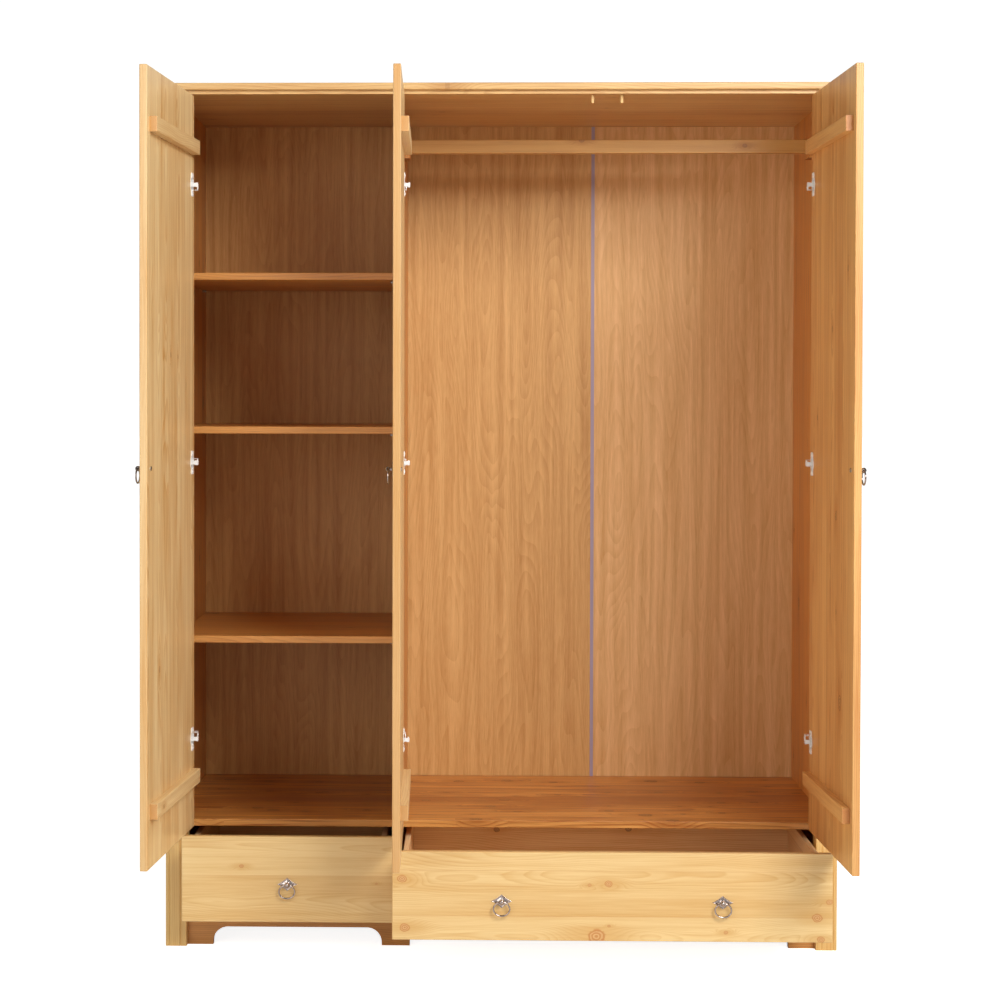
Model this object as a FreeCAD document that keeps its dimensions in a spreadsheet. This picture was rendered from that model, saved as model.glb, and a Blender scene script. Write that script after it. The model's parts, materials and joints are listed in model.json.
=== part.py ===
import FreeCAD, Part

import os
import re

import Sketcher

# A three-door pine wardrobe: a shelved bay on the left, a hanging bay behind the other two
# doors, and a narrow and a wide drawer underneath, on a bracket-foot plinth.
#
# Frame: millimetres, +Z up. The origin is on the floor at the middle of the back, where the
# wardrobe stands against a wall. +X is to the right of someone facing the doors, and the
# doors are on the -Y side. Doors and drawers are modelled at their resting positions: the
# doors open and the drawers drawn out, by the angles and lengths in the sheet.

SIZES = [
    # name, value, meaning
    ("overall_width", 1500, "outside of one front post to the outside of the other"),
    ("overall_height", 1930, "floor to the top of the top board"),
    ("overall_depth", 600, "wall to the front of the posts"),
    ("board", 16, "thickness of sides, divider, shelves, doors and fronts"),
    ("arris", 1.5, "rounding of a board's visible edges"),
    ("post_width", 47, "front post, across"),
    ("post_depth", 47, "front post, front to back"),
    ("bead_width", 3, "each V groove down the front of a post"),
    ("bead_depth", 1.5, "depth of those grooves"),
    ("bead_inner", 14, "inner groove from the post's inner edge"),
    ("bead_outer", 8, "outer groove from the post's outer edge"),
    ("top_thickness", 24, "top board"),
    ("top_nose", 16, "height of the top board's projecting nose"),
    ("top_overhang", 10, "nose beyond the posts, at the front and the sides"),
    ("top_step", 1, "lower step of the top board behind the posts' front"),
    ("floor_height", 283, "floor of the wardrobe above the ground"),
    ("door_gap", 1.5, "beside each door and drawer front"),
    ("door_top_gap", 4, "between the doors and the top board"),
    ("door_bottom", 270, "underside of the doors above the ground"),
    ("door_arris", 2, "rounding of a door's and a front's edges"),
    ("seat_gap", 2, "between a closed door and the board edges behind it"),
    ("pivot_inset", 1, "hinge axis from the edge of the door's opening"),
    ("pivot_front", 1, "hinge axis in front of the closed door's face"),
    ("left_open", 94.3, "resting angle of the left door"),
    ("middle_open", 89, "resting angle of the middle door"),
    ("right_open", 92, "resting angle of the right door"),
    ("batten_height", 31, "ledge across the inside of a door"),
    ("batten_thick", 16, "how far a ledge stands off the door"),
    ("batten_inset", 102, "ledge from the door's top or bottom"),
    ("batten_hinge_end", 12, "ledge's end from the hinged edge"),
    ("batten_free_end", 22, "ledge's end from the free edge"),
    ("hinge_inset", 200, "outer hinges from the door's top and bottom"),
    ("cup_radius", 17.5, "hinge cup"),
    ("cup_depth", 12, "hinge cup sunk into the door"),
    ("cup_setback", 24, "cup's centre from the door's hinged edge"),
    ("cup_clearance", 0.1, "round the cup in its bore"),
    ("flange_height", 52, "hinge cup's flange, up the door"),
    ("flange_width", 17, "hinge cup's flange, across the door"),
    ("flange_thick", 1.6, "hinge cup's flange"),
    ("link_height", 9, "link on the hinge cup, up the door"),
    ("link_reach", 15, "how far the link stands off the door"),
    ("link_gap", 9.5, "link's end from the hinge axis, along the door"),
    ("plate_height", 50, "hinge mounting plate, up the post"),
    ("plate_depth", 26, "hinge mounting plate, front to back"),
    ("plate_stand", 9, "plate's face from the hinge axis, across"),
    ("arm_height", 15, "channel of the hinge arm, outside"),
    ("arm_wall", 1.5, "channel of the hinge arm, wall"),
    ("arm_reach", 24, "how far the channel stands off its plate"),
    ("arm_mouth", 8, "channel's open front, where the link swings out"),
    ("arm_seat", 1, "hinge arm behind the front of the divider"),
    ("pull_inset", 30, "door pull from the door's free edge"),
    ("plate_wide", 45, "rhombic back plate of a pull, across"),
    ("plate_tall", 31, "rhombic back plate of a pull, up"),
    ("plate_rim", 1.2, "back plate's thickness at its rim"),
    ("plate_crown", 3.6, "back plate's height at the middle"),
    ("crown_share", 0.3, "size of the raised middle, of the whole plate"),
    ("ball_radius", 5.6, "ball that carries the ring"),
    ("ball_reach", 10, "ball's centre from the door's face"),
    ("stem_radius", 3.2, "stem under the ball"),
    ("ring_wide", 34.4, "ring across, between wire centres"),
    ("ring_tall", 29.4, "ring up and down, between wire centres"),
    ("ring_wire", 1.8, "radius of the ring's wire"),
    ("ring_clearance", 0.35, "round the wire in the ball"),
    ("screw_radius", 2, "shank of a pull's screw"),
    ("screw_head", 4.5, "radius of a pull's screw head"),
    ("screw_head_thick", 2.4, "height of a pull's screw head"),
    ("screw_clearance", 0.2, "round the shank in the wood"),
    ("front_bottom", 78, "underside of the drawer fronts above the ground"),
    ("front_top_gap", 3, "between the drawer fronts and the doors"),
    ("left_out", 95, "how far the left drawer is drawn out"),
    ("right_out", 240, "how far the right drawer is drawn out"),
    ("box_board", 12, "drawer sides and backs"),
    ("box_bottom", 91, "underside of the drawer sides above the ground"),
    ("box_height", 152, "drawer sides"),
    ("box_length", 500, "drawer sides, front to back"),
    ("box_side_gap", 13, "drawer side from the post or divider"),
    ("back_drop", 12, "drawer back below the top of the sides"),
    ("base_thick", 4, "drawer bottom"),
    ("base_rise", 8, "drawer bottom above the underside of the sides"),
    ("base_tongue", 5, "drawer bottom's edge inside the sides"),
    ("drawer_pull_height", 84, "drawer pull above the front's underside"),
    ("runner_height", 16, "wooden runner"),
    ("runner_rise", 68, "runner above the underside of the sides"),
    ("runner_tongue", 6, "depth of the groove for the runner"),
    ("runner_clearance", 0.5, "round the runner in its groove"),
    ("runner_front_gap", 3, "runner behind the closed drawer front"),
    ("runner_back_gap", 40, "runner's end from the wall"),
    ("plinth_height", 90, "front plinth board"),
    ("arch_height", 40, "arches cut in the plinth"),
    ("arch_radius", 33, "upper corners of the arches"),
    ("foot_side", 58, "plinth's outer feet"),
    ("foot_middle", 63, "plinth's middle foot"),
    ("rail_back_height", 60, "rear plinth rail"),
    ("back_panel", 3, "hardboard back panels"),
    ("back_inset", 1.4, "back panels in front of the wall side"),
    ("back_rebate", 7, "width of the side panels' rebate for the back"),
    ("strip_width", 8, "H-shaped strips that join the back panels"),
    ("strip_flange", 1, "thickness of each flange of a strip"),
    ("strip_web", 1.2, "web between a strip's flanges"),
    ("shelf_setback", 60, "shelves behind the posts' front"),
    ("shelf_side_gap", 0.8, "beside each shelf"),
    ("shelf_top_low", 691, "top of the lowest shelf"),
    ("shelf_top_middle", 1165, "top of the middle shelf"),
    ("shelf_top_high", 1512, "top of the highest shelf"),
    ("pin_radius", 3, "shelf pins"),
    ("pin_sunk", 9, "shelf pins inside the panel"),
    ("pin_proud", 9, "shelf pins under the shelf"),
    ("pin_clearance", 0.05, "round a pin in its hole"),
    ("pin_front", 40, "front pins behind the shelf's front edge"),
    ("pin_back", 70, "rear pins from the wall"),
    ("rail_top_gap", 68, "clothes rail below the top board"),
    ("rail_height", 32, "clothes rail, up and down"),
    ("rail_thick", 22, "clothes rail, front to back"),
    ("rail_centre", 300, "clothes rail's middle from the wall"),
    ("cleat_thick", 14, "cleat that holds an end of the rail"),
    ("cleat_wall", 12, "cleat's wood beside and below the rail"),
    ("rail_clearance", 0.3, "round the rail in its cleats"),
    ("peg_radius", 3.5, "door stop pegs"),
    ("peg_length", 19, "door stop pegs below the top board"),
    ("peg_spacing", 65, "between the two pegs' middles"),
    ("peg_seat", 0.4, "pegs behind the closed doors"),
    ("fixing_radius", 2.5, "shank of a carcass screw"),
    ("fixing_head", 4.5, "head radius of a carcass screw"),
    ("fixing_head_thick", 3, "head of a carcass screw"),
    ("fixing_length", 50, "a carcass screw, whole"),
    ("fixing_clearance", 0.05, "round a carcass screw"),
    ("fixing_margin", 90, "outer carcass screws from the wall and the post"),
]

NAMES = {name for name, _, _ in SIZES}

doc = FreeCAD.newDocument("wardrobe")
sheet = doc.addObject("Spreadsheet::Sheet", "sizes")
for row, (name, size, meaning) in enumerate(SIZES, start=1):
    sheet.set(f"A{row}", meaning)
    sheet.set(f"B{row}", str(size))
    sheet.setAlias(f"B{row}", name)
doc.recompute()
helper = doc.addObject("App::FeaturePython", "helper")

# Places that several pieces share, as formulas of the sheet's names.
SIDE_IN = "(overall_width/2 - board)"
POST_IN = "(overall_width/2 - post_width)"
BAY = "((overall_width - 2*post_width)/3)"
FRONT = "(-overall_depth)"
INNER_FRONT = "(board + seat_gap - overall_depth)"
POST_BACK = "(post_depth - overall_depth)"
CEILING = "(overall_height - top_thickness)"
DOOR_TOP = f"({CEILING} - door_top_gap)"
DOOR_WIDTH = f"({BAY} - 2*door_gap)"
FLOOR_UNDER = "(floor_height - board)"
BACK_IN = "(-back_inset - back_panel)"
BACK_OUT = "(-back_inset)"
STRIP_IN = f"({BACK_IN} - strip_flange)"
DIVIDER = f"(-{BAY}/2)"
DIVIDER_LEFT = f"({DIVIDER} - board/2)"
DIVIDER_RIGHT = f"({DIVIDER} + board/2)"
FRONT_TOP = "(door_bottom - front_top_gap)"
BOX_TOP = "(box_bottom + box_height)"
BOX_FRONT = "(board - overall_depth)"
RUNNER_LOW = "(box_bottom + runner_rise)"

PLANES = {"XY": "XY_Plane", "XZ": "XZ_Plane", "YZ": "YZ_Plane"}

pieces = []


# ---- helpers -------------------------------------------------------------------------------

def with_sheet(formula):
    """The formula with the sheet's name in front of each of its sizes."""
    return re.sub(r"[a-z_]+", lambda m: f"sizes.{m.group(0)}" if m.group(0) in NAMES else m.group(0), formula)


def number(formula):
    """What a formula comes to now, for a sketch's first positions."""
    result = helper.evalExpression(with_sheet(formula))
    return float(getattr(result, "Value", result))


def bind(thing, path, formula):
    thing.setExpression(path, with_sheet(formula))


def minus(formula):
    return f"(-({formula}))"


def piece(thing, label):
    """Names a finished sub-part, which is written to a file of its own."""
    thing.Label = label
    pieces.append(thing)
    return thing


def place(thing, x="0", y="0", z="0"):
    """Puts a sub-part's own origin at a point of the wardrobe's frame."""
    for axis, formula in zip("xyz", (x, y, z)):
        bind(thing, f"Placement.Base.{axis}", formula)


def new_body(label):
    return doc.addObject("PartDesign::Body", label)


def sketch_on(body, plane, name, offset="0"):
    """An empty sketch on one of the body's own origin planes, moved off it along its normal."""
    sketch = body.newObject("Sketcher::SketchObject", name)
    support = next(f for f in body.Origin.OriginFeatures if f.Role == PLANES[plane])
    sketch.AttachmentSupport = (support, [""])
    sketch.MapMode = "FlatFace"
    if offset != "0":
        bind(sketch, "AttachmentOffset.Base.z", offset)
    return sketch


def hold_point(sketch, line, end, x, y):
    """Holds one end of a line at a point given by two formulas."""
    for kind, formula, axis in (("DistanceX", x, -2), ("DistanceY", y, -1)):
        if formula == "0":
            sketch.addConstraint(Sketcher.Constraint("PointOnObject", line, end, axis))
            continue
        index = sketch.addConstraint(Sketcher.Constraint(kind, -1, 1, line, end, number(formula)))
        label = f"{kind}_{line}_{end}"
        sketch.renameConstraint(index, label)
        bind(sketch, f"Constraints.{label}", formula)


def draw_outline(sketch, corners):
    """A closed outline of straight lines through corners given by formulas."""
    first = sketch.GeometryCount
    points = [FreeCAD.Vector(number(x), number(y), 0) for x, y in corners]
    count = len(points)
    for i in range(count):
        sketch.addGeometry(Part.LineSegment(points[i], points[(i + 1) % count]), False)
    for i in range(count):
        following = first + (i + 1) % count
        sketch.addConstraint(Sketcher.Constraint("Coincident", first + i, 2, following, 1))
    for i, (x, y) in enumerate(corners):
        hold_point(sketch, first + i, 1, x, y)


def draw_circle(sketch, x, y, radius):
    """A circle whose centre and radius follow formulas."""
    centre = FreeCAD.Vector(number(x), number(y), 0)
    circle = sketch.addGeometry(Part.Circle(centre, FreeCAD.Vector(0, 0, 1), number(radius)), False)
    hold_point(sketch, circle, 3, x, y)
    index = sketch.addConstraint(Sketcher.Constraint("Radius", circle, number(radius)))
    sketch.renameConstraint(index, f"radius_{circle}")
    bind(sketch, f"Constraints.radius_{circle}", radius)


def rectangle(x_low, x_high, y_low, y_high):
    return [(x_low, y_low), (x_high, y_low), (x_high, y_high), (x_low, y_high)]


def pad(body, sketch, length, back=False, middle=False):
    feature = body.newObject("PartDesign::Pad", f"{sketch.Name}_pad")
    feature.Profile = sketch
    feature.Reversed = back
    feature.Midplane = middle
    bind(feature, "Length", length)
    sketch.Visibility = False
    body.Tip = feature
    return feature


def pocket(body, sketch, depth, back=False, middle=False):
    """Cuts the sketch out of the body, and checks that something was cut."""
    doc.recompute()
    before = body.Shape.Volume
    feature = body.newObject("PartDesign::Pocket", f"{sketch.Name}_pocket")
    feature.Profile = sketch
    feature.Reversed = back
    feature.Midplane = middle
    bind(feature, "Length", depth)
    body.Tip = feature
    doc.recompute()
    if body.Shape.Volume > before - 1e-3:
        raise RuntimeError(f"{body.Name}: {feature.Name} cuts nothing")
    return feature


def edges_of(shape, wanted):
    """Names of the straight edges for which wanted(middle, direction) is true."""
    names = []
    for index, edge in enumerate(shape.Edges, start=1):
        if len(edge.Vertexes) != 2:
            continue
        middle = edge.valueAt((edge.FirstParameter + edge.LastParameter) / 2)
        direction = edge.Vertexes[1].Point - edge.Vertexes[0].Point
        direction.normalize()
        if wanted(middle, direction):
            names.append(f"Edge{index}")
    return names


def ease(body, radius, wanted):
    """Rounds the chosen edges of the body as it now stands."""
    doc.recompute()
    base = body.Tip
    feature = body.newObject("PartDesign::Fillet", f"{body.Name}_{base.Name}_ease")
    feature.Base = (base, edges_of(base.Shape, wanted))
    bind(feature, "Radius", radius)
    body.Tip = feature
    return feature


def every_edge(middle, direction):
    return True


def board(label, x, y, z, round_where=None, radius="arris"):
    """A flat board between pairs of formulas, drawn in its own corner and put in its place."""
    body = new_body(label)
    sketch = sketch_on(body, "XY", f"{label}_outline")
    draw_outline(sketch, rectangle("0", f"{x[1]} - {x[0]}", "0", f"{y[1]} - {y[0]}"))
    pad(body, sketch, f"{z[1]} - {z[0]}")
    if round_where:
        ease(body, radius, round_where)
    place(body, x[0], y[0], z[0])
    return piece(body, label)


def box(name, x, y, z):
    """A block between pairs of formulas, for use in a boolean or a group."""
    block = doc.addObject("Part::Box", name)
    for path, (low, high) in zip(("Length", "Width", "Height"), (x, y, z)):
        bind(block, path, f"{high} - {low}")
    place(block, x[0], y[0], z[0])
    return block


def cylinder(name, radius, length, x, y, z, axis):
    """A round bar that starts at a point and runs along an axis."""
    bar = doc.addObject("Part::Cylinder", name)
    bind(bar, "Radius", radius)
    bind(bar, "Height", length)
    bar.Placement = FreeCAD.Placement(
        FreeCAD.Vector(0, 0, 0), FreeCAD.Rotation(FreeCAD.Vector(0, 0, 1), FreeCAD.Vector(*axis))
    )
    place(bar, x, y, z)
    return bar


def fuse(name, shapes):
    whole = doc.addObject("Part::MultiFuse", name)
    whole.Shapes = shapes
    return whole


def cut(name, base, tool):
    rest = doc.addObject("Part::Cut", name)
    rest.Base = base
    rest.Tool = tool
    return rest


def group(label, members):
    """Identical small parts that share one sub-part as separate solids."""
    compound = doc.addObject("Part::Compound", label)
    compound.Links = members
    return piece(compound, label)


# ---- the carcass ---------------------------------------------------------------------------

def front_posts():
    """Two square posts from the floor to the top board, each with two V grooves in front."""
    for label, outer, inner in (
        ("front_post_left", "-overall_width/2", minus(POST_IN)),
        ("front_post_right", "overall_width/2", POST_IN),
    ):
        inward = "+" if label.endswith("left") else "-"
        outward = "-" if label.endswith("left") else "+"
        body = new_body(label)
        sketch = sketch_on(body, "XY", f"{label}_section")
        across = f"({inner} - ({outer}))"
        corners = [("0", "0")]
        for where in (f"({inward}1)*bead_outer", f"{across} {outward} bead_inner"):
            near = (f"{where} {outward} bead_width/2", "0")
            bottom = (where, "bead_depth")
            far = (f"{where} {inward} bead_width/2", "0")
            corners += [near, bottom, far]
        corners += [(across, "0"), (across, "post_depth"), ("0", "post_depth")]
        draw_outline(sketch, corners)
        pad(body, sketch, CEILING)

        def outer_corners(middle, direction):
            upright = abs(direction.z) > 0.9
            at_side = min(abs(middle.x), abs(middle.x - number(across))) < 0.01
            return upright and at_side and middle.y < 0.01

        ease(body, "arris", outer_corners)
        place(body, outer, FRONT)
        piece(body, label)


def side_panels():
    """Sides from the posts to the wall, rebated for the back panels and bored for pins."""
    for label, low, high, inner_side in (
        ("side_panel_left", "-overall_width/2", minus(SIDE_IN), 1),
        ("side_panel_right", SIDE_IN, "overall_width/2", -1),
    ):
        body = new_body(label)
        outline = sketch_on(body, "XY", f"{label}_outline")
        length = f"(-({POST_BACK}))"
        lip = f"({length} - back_inset - back_panel)"
        if inner_side > 0:
            corners = [("0", "0"), ("board", "0"), ("board", lip), ("board - back_rebate", lip)]
            corners += [("board - back_rebate", length), ("0", length)]
        else:
            corners = [("0", "0"), ("board", "0"), ("board", length), ("back_rebate", length)]
            corners += [("back_rebate", lip), ("0", lip)]
        draw_outline(outline, corners)
        pad(body, outline, CEILING)
        if inner_side > 0:
            pin_holes(body, label, "board", minus("pin_sunk"), POST_BACK)
        fixing_holes(body, label, inner_side)
        place(body, low, POST_BACK)
        piece(body, label)


SHELF_TOPS = {"low": "shelf_top_low", "middle": "shelf_top_middle", "high": "shelf_top_high"}
PIN_ROWS = ("(shelf_setback + pin_front - overall_depth)", "(-pin_back)")


def pin_holes(body, label, face, inward, local_front):
    """Holes for the shelf pins, bored into one face of an upright board."""
    holes = sketch_on(body, "YZ", f"{label}_pin_holes", offset=face)
    for top in SHELF_TOPS.values():
        for row in PIN_ROWS:
            height = f"{top} - board - pin_radius"
            draw_circle(holes, f"{row} - {local_front}", height, "pin_radius + pin_clearance")
    pocket(body, holes, "pin_sunk + pin_clearance", back=inward == "forward")


def fixing_rows():
    """How far from the wall the carcass screws stand."""
    back, front = "(-fixing_margin)", f"({POST_BACK} + fixing_margin)"
    return (back, f"(({back} + {front})/2)", front)


FIXING_HEIGHT = f"({FLOOR_UNDER} + board/2)"


def fixing_holes(body, label, inner_side):
    """Counterbored holes through a side for the screws into the floor board."""
    outer = "0" if inner_side > 0 else "board"
    shanks = sketch_on(body, "YZ", f"{label}_shank_holes", offset="0")
    heads = sketch_on(body, "YZ", f"{label}_head_holes", offset=outer)
    for row in fixing_rows():
        draw_circle(shanks, f"{row} - {POST_BACK}", FIXING_HEIGHT, "fixing_radius + fixing_clearance")
        draw_circle(heads, f"{row} - {POST_BACK}", FIXING_HEIGHT, "fixing_head + fixing_clearance")
    pocket(body, shanks, "board", back=True)
    pocket(body, heads, "fixing_head_thick", back=inner_side > 0)


def divider():
    """The upright between the shelved bay and the hanging bay."""
    label = "divider_panel"
    body = new_body(label)
    outline = sketch_on(body, "XY", f"{label}_outline")
    draw_outline(outline, rectangle("0", "board", "0", f"{STRIP_IN} - {INNER_FRONT}"))
    pad(body, outline, f"{CEILING} - floor_height")
    ease(body, "arris", lambda middle, direction: middle.y < 0.01 and abs(direction.z) > 0.9)
    holes = sketch_on(body, "YZ", f"{label}_pin_holes")
    for top in SHELF_TOPS.values():
        for row in PIN_ROWS:
            height = f"{top} - board - pin_radius - floor_height"
            draw_circle(holes, f"{row} - {INNER_FRONT}", height, "pin_radius + pin_clearance")
    pocket(body, holes, "pin_sunk + pin_clearance", back=True)
    place(body, DIVIDER_LEFT, INNER_FRONT, "floor_height")
    piece(body, label)


def floor_board():
    """The wardrobe's floor, notched round the front posts."""
    label = "floor_board"
    body = new_body(label)
    outline = sketch_on(body, "XY", f"{label}_outline")
    draw_outline(outline, [
        (minus(POST_IN), INNER_FRONT), (POST_IN, INNER_FRONT), (POST_IN, POST_BACK), (SIDE_IN, POST_BACK),
        (SIDE_IN, STRIP_IN), (minus(SIDE_IN), STRIP_IN),
        (minus(SIDE_IN), POST_BACK), (minus(POST_IN), POST_BACK),
    ])
    pad(body, outline, "board")
    doc.recompute()
    front = number(INNER_FRONT)
    ease(body, "arris", lambda middle, direction: abs(middle.y - front) < 0.01 and abs(direction.x) > 0.9)
    for side, end, inward in (("left", minus(SIDE_IN), True), ("right", SIDE_IN, False)):
        bores = sketch_on(body, "YZ", f"{label}_bores_{side}", offset=end)
        for row in fixing_rows():
            draw_circle(bores, row, "board/2", "fixing_radius + fixing_clearance")
        pocket(body, bores, "fixing_length - board + fixing_clearance", back=inward)
    place(body, z=FLOOR_UNDER)
    piece(body, label)


def drawer_divider():
    """The upright between the drawers, stepped back behind the plinth board."""
    label = "drawer_divider"
    body = new_body(label)
    outline = sketch_on(body, "YZ", f"{label}_outline")
    step = f"({INNER_FRONT} + board)"
    rail = "(-board)"
    draw_outline(outline, [
        (step, "0"), (rail, "0"), (rail, "rail_back_height"), (STRIP_IN, "rail_back_height"),
        (STRIP_IN, FLOOR_UNDER), (INNER_FRONT, FLOOR_UNDER),
        (INNER_FRONT, "plinth_height"), (step, "plinth_height"),
    ])
    pad(body, outline, "board")
    place(body, DIVIDER_LEFT)
    piece(body, label)


def top_board():
    """The top, with a nose along the front and a lower step that ends behind the posts' face."""
    label = "top_board"
    body = new_body(label)
    section = sketch_on(body, "YZ", f"{label}_section")
    nose = f"({FRONT} - top_overhang)"
    step = f"({FRONT} + top_step)"
    under = "(top_thickness - top_nose)"
    draw_outline(section, [
        (step, "0"), ("0", "0"), ("0", "top_thickness"),
        (nose, "top_thickness"), (nose, under), (step, under),
    ])
    pad(body, section, "overall_width + 2*top_overhang")
    doc.recompute()
    front = number(nose)
    tall = number("top_thickness")
    low = number(under)
    across = number("overall_width + 2*top_overhang")

    def nose_edges(middle, direction):
        along_front = abs(middle.y - front) < 0.01
        at_end = min(abs(middle.x), abs(middle.x - across)) < 0.01
        upper = abs(middle.z - tall) < 0.01
        return (along_front and middle.z > low - 0.01) or (at_end and upper and abs(direction.y) > 0.9)

    ease(body, "2*arris", nose_edges)
    place(body, "-overall_width/2 - top_overhang", "0", CEILING)
    piece(body, label)


def plinth():
    """The arched board between the posts, and a plain rail along the wall."""
    label = "plinth_front"
    body = new_body(label)
    outline = sketch_on(body, "XZ", f"{label}_outline")
    left_foot = f"({minus(POST_IN)} + foot_side)"
    right_foot = f"({POST_IN} - foot_side)"
    middle_left = f"({DIVIDER} - foot_middle/2)"
    middle_right = f"({DIVIDER} + foot_middle/2)"
    draw_outline(outline, [
        (minus(POST_IN), "0"), (left_foot, "0"), (left_foot, "arch_height"), (middle_left, "arch_height"),
        (middle_left, "0"), (middle_right, "0"), (middle_right, "arch_height"), (right_foot, "arch_height"),
        (right_foot, "0"), (POST_IN, "0"), (POST_IN, "plinth_height"), (minus(POST_IN), "plinth_height"),
    ])
    pad(body, outline, "board", back=True)
    doc.recompute()
    arch = number("arch_height")
    ease(
        body, "arch_radius",
        lambda middle, direction: abs(middle.z - arch) < 0.01 and abs(direction.y) > 0.9,
    )
    place(body, y=INNER_FRONT)
    piece(body, label)
    board("plinth_rear", (minus(SIDE_IN), SIDE_IN), ("-board", "0"), ("0", "rail_back_height"))


def back_panels():
    """Three hardboard panels and the H-shaped strips between them."""
    edge = f"({SIDE_IN} + back_rebate)"
    web = "strip_web/2"
    joints = (DIVIDER, minus(DIVIDER))
    spans = {
        "back_panel_left": (minus(edge), f"({joints[0]} - {web})"),
        "back_panel_middle": (f"({joints[0]} + {web})", f"({joints[1]} - {web})"),
        "back_panel_right": (f"({joints[1]} + {web})", edge),
    }
    for label, across in spans.items():
        board(label, across, (BACK_IN, BACK_OUT), ("rail_back_height", CEILING))
    strips = []
    for side, joint in zip(("left", "right"), joints):
        body = new_body(f"back_strip_{side}")
        section = sketch_on(body, "XY", f"back_strip_{side}_section")
        half = "strip_width/2"
        outer = "(2*strip_flange + back_panel)"
        flange = "strip_flange"
        inner_panel = "(strip_flange + back_panel)"
        draw_outline(section, [
            (minus(half), "0"), (half, "0"), (half, flange),
            (web, flange), (web, inner_panel), (half, inner_panel),
            (half, outer), (minus(half), outer), (minus(half), inner_panel), (minus(web), inner_panel),
            (minus(web), flange), (minus(half), flange),
        ])
        pad(body, section, f"{CEILING} - rail_back_height")
        place(body, joint, STRIP_IN, "rail_back_height")
        strips.append(body)
    group("back_joint_strips", strips)


def shelves():
    """Three loose shelves on pins in the left bay."""
    across = (f"({minus(SIDE_IN)} + shelf_side_gap)", f"({DIVIDER_LEFT} - shelf_side_gap)")
    deep = ("(shelf_setback - overall_depth)", f"({STRIP_IN} - shelf_side_gap)")
    for name, top in SHELF_TOPS.items():
        board(
            f"shelf_{name}", across, deep, (f"({top} - board)", top),
            lambda middle, direction: middle.y < 0.01 and abs(direction.x) > 0.9,
        )
    pins = []
    for name, top in SHELF_TOPS.items():
        for place_name, row in zip(("front", "back"), PIN_ROWS):
            height = f"({top} - board - pin_radius)"
            for side, start in (
                ("left", f"({minus(SIDE_IN)} - pin_sunk)"),
                ("right", f"({DIVIDER_LEFT} - pin_proud)"),
            ):
                pins.append(cylinder(
                    f"pin_{name}_{place_name}_{side}", "pin_radius", "pin_sunk + pin_proud",
                    start, row, height, (1, 0, 0),
                ))
    group("shelf_pins", pins)


def clothes_rail():
    """A wooden rail across the hanging bay, resting in a notched cleat at each end."""
    top = f"({CEILING} - rail_top_gap)"
    low = f"({top} - rail_height)"
    front = "(-rail_centre - rail_thick/2)"
    back = "(-rail_centre + rail_thick/2)"
    gap = "rail_clearance"
    board(
        "clothes_rail", (f"({DIVIDER_RIGHT} + {gap})", f"({SIDE_IN} - {gap})"), (front, back), (low, top),
        lambda middle, direction: abs(direction.x) > 0.9,
    )
    cleats = []
    for side, start in (("left", DIVIDER_RIGHT), ("right", f"({SIDE_IN} - cleat_thick)")):
        body = new_body(f"rail_cleat_{side}")
        outline = sketch_on(body, "YZ", f"rail_cleat_{side}_outline")
        notch = "(rail_thick/2 + rail_clearance)"
        half = f"({notch} + cleat_wall)"
        draw_outline(outline, [
            (minus(half), minus("cleat_wall")), (half, minus("cleat_wall")),
            (half, "rail_height"), (notch, "rail_height"),
            (notch, "0"), (minus(notch), "0"), (minus(notch), "rail_height"), (minus(half), "rail_height"),
        ])
        pad(body, outline, "cleat_thick")
        place(body, start, "-rail_centre", low)
        cleats.append(body)
    group("rail_cleats", cleats)


def stop_pegs():
    """Two wooden pegs under the top board that the middle and right doors close against."""
    middle = minus(DIVIDER)
    depth = f"({BOX_FRONT} + peg_seat + peg_radius)"
    pegs = []
    for name, shift in (("left", "-"), ("right", "+")):
        across = f"({middle} {shift} peg_spacing/2)"
        pegs.append(cylinder(f"peg_{name}", "peg_radius", "peg_length", across, depth, CEILING, (0, 0, -1)))
    group("door_stop_pegs", pegs)


def runners():
    """Wooden runners in the drawer sides' grooves, blocked out behind the posts."""
    low = RUNNER_LOW
    front = f"({INNER_FRONT} + runner_front_gap)"
    back = "(-runner_back_gap)"
    reach = "(box_side_gap + runner_tongue - runner_clearance)"
    outer_runs = []
    for side, sign in (("left", "-"), ("right", "+")):
        body = new_body(f"runner_outer_{side}")
        outline = sketch_on(body, "XY", f"runner_outer_{side}_outline")
        tip = f"({sign}1)*({POST_IN} - {reach})"
        post = f"({sign}1)*{POST_IN}"
        wall = f"({sign}1)*{SIDE_IN}"
        draw_outline(outline, [
            (tip, front), (post, front), (post, POST_BACK), (wall, POST_BACK), (wall, back), (tip, back),
        ])
        pad(body, outline, "runner_height")
        place(body, z=low)
        outer_runs.append(body)
    high = f"({low} + runner_height)"
    left_span = (f"({DIVIDER_LEFT} - {reach})", DIVIDER_LEFT)
    right_span = (DIVIDER_RIGHT, f"({DIVIDER_RIGHT} + {reach})")
    inner_left = box("runner_inner_left", left_span, (front, back), (low, high))
    inner_right = box("runner_inner_right", right_span, (front, back), (low, high))
    group("drawer_runners", outer_runs + [inner_left, inner_right])


def carcass_screws():
    """Countersunk screws through the sides into the ends of the floor board."""
    screws = []
    for side, outer, axis, sign in (
        ("left", "(-overall_width/2)", (1, 0, 0), "+"),
        ("right", "(overall_width/2)", (-1, 0, 0), "-"),
    ):
        for count, row in enumerate(fixing_rows()):
            name = f"carcass_screw_{side}_{count}"
            under_head = f"({outer} {sign} fixing_head_thick)"
            head = cylinder(
                f"{name}_head", "fixing_head", "fixing_head_thick", outer, row, FIXING_HEIGHT, axis
            )
            length = "fixing_length - fixing_head_thick"
            shank = cylinder(f"{name}_shank", "fixing_radius", length, under_head, row, FIXING_HEIGHT, axis)
            screws.append(fuse(name, [head, shank]))
    group("carcass_screws", screws)


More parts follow.
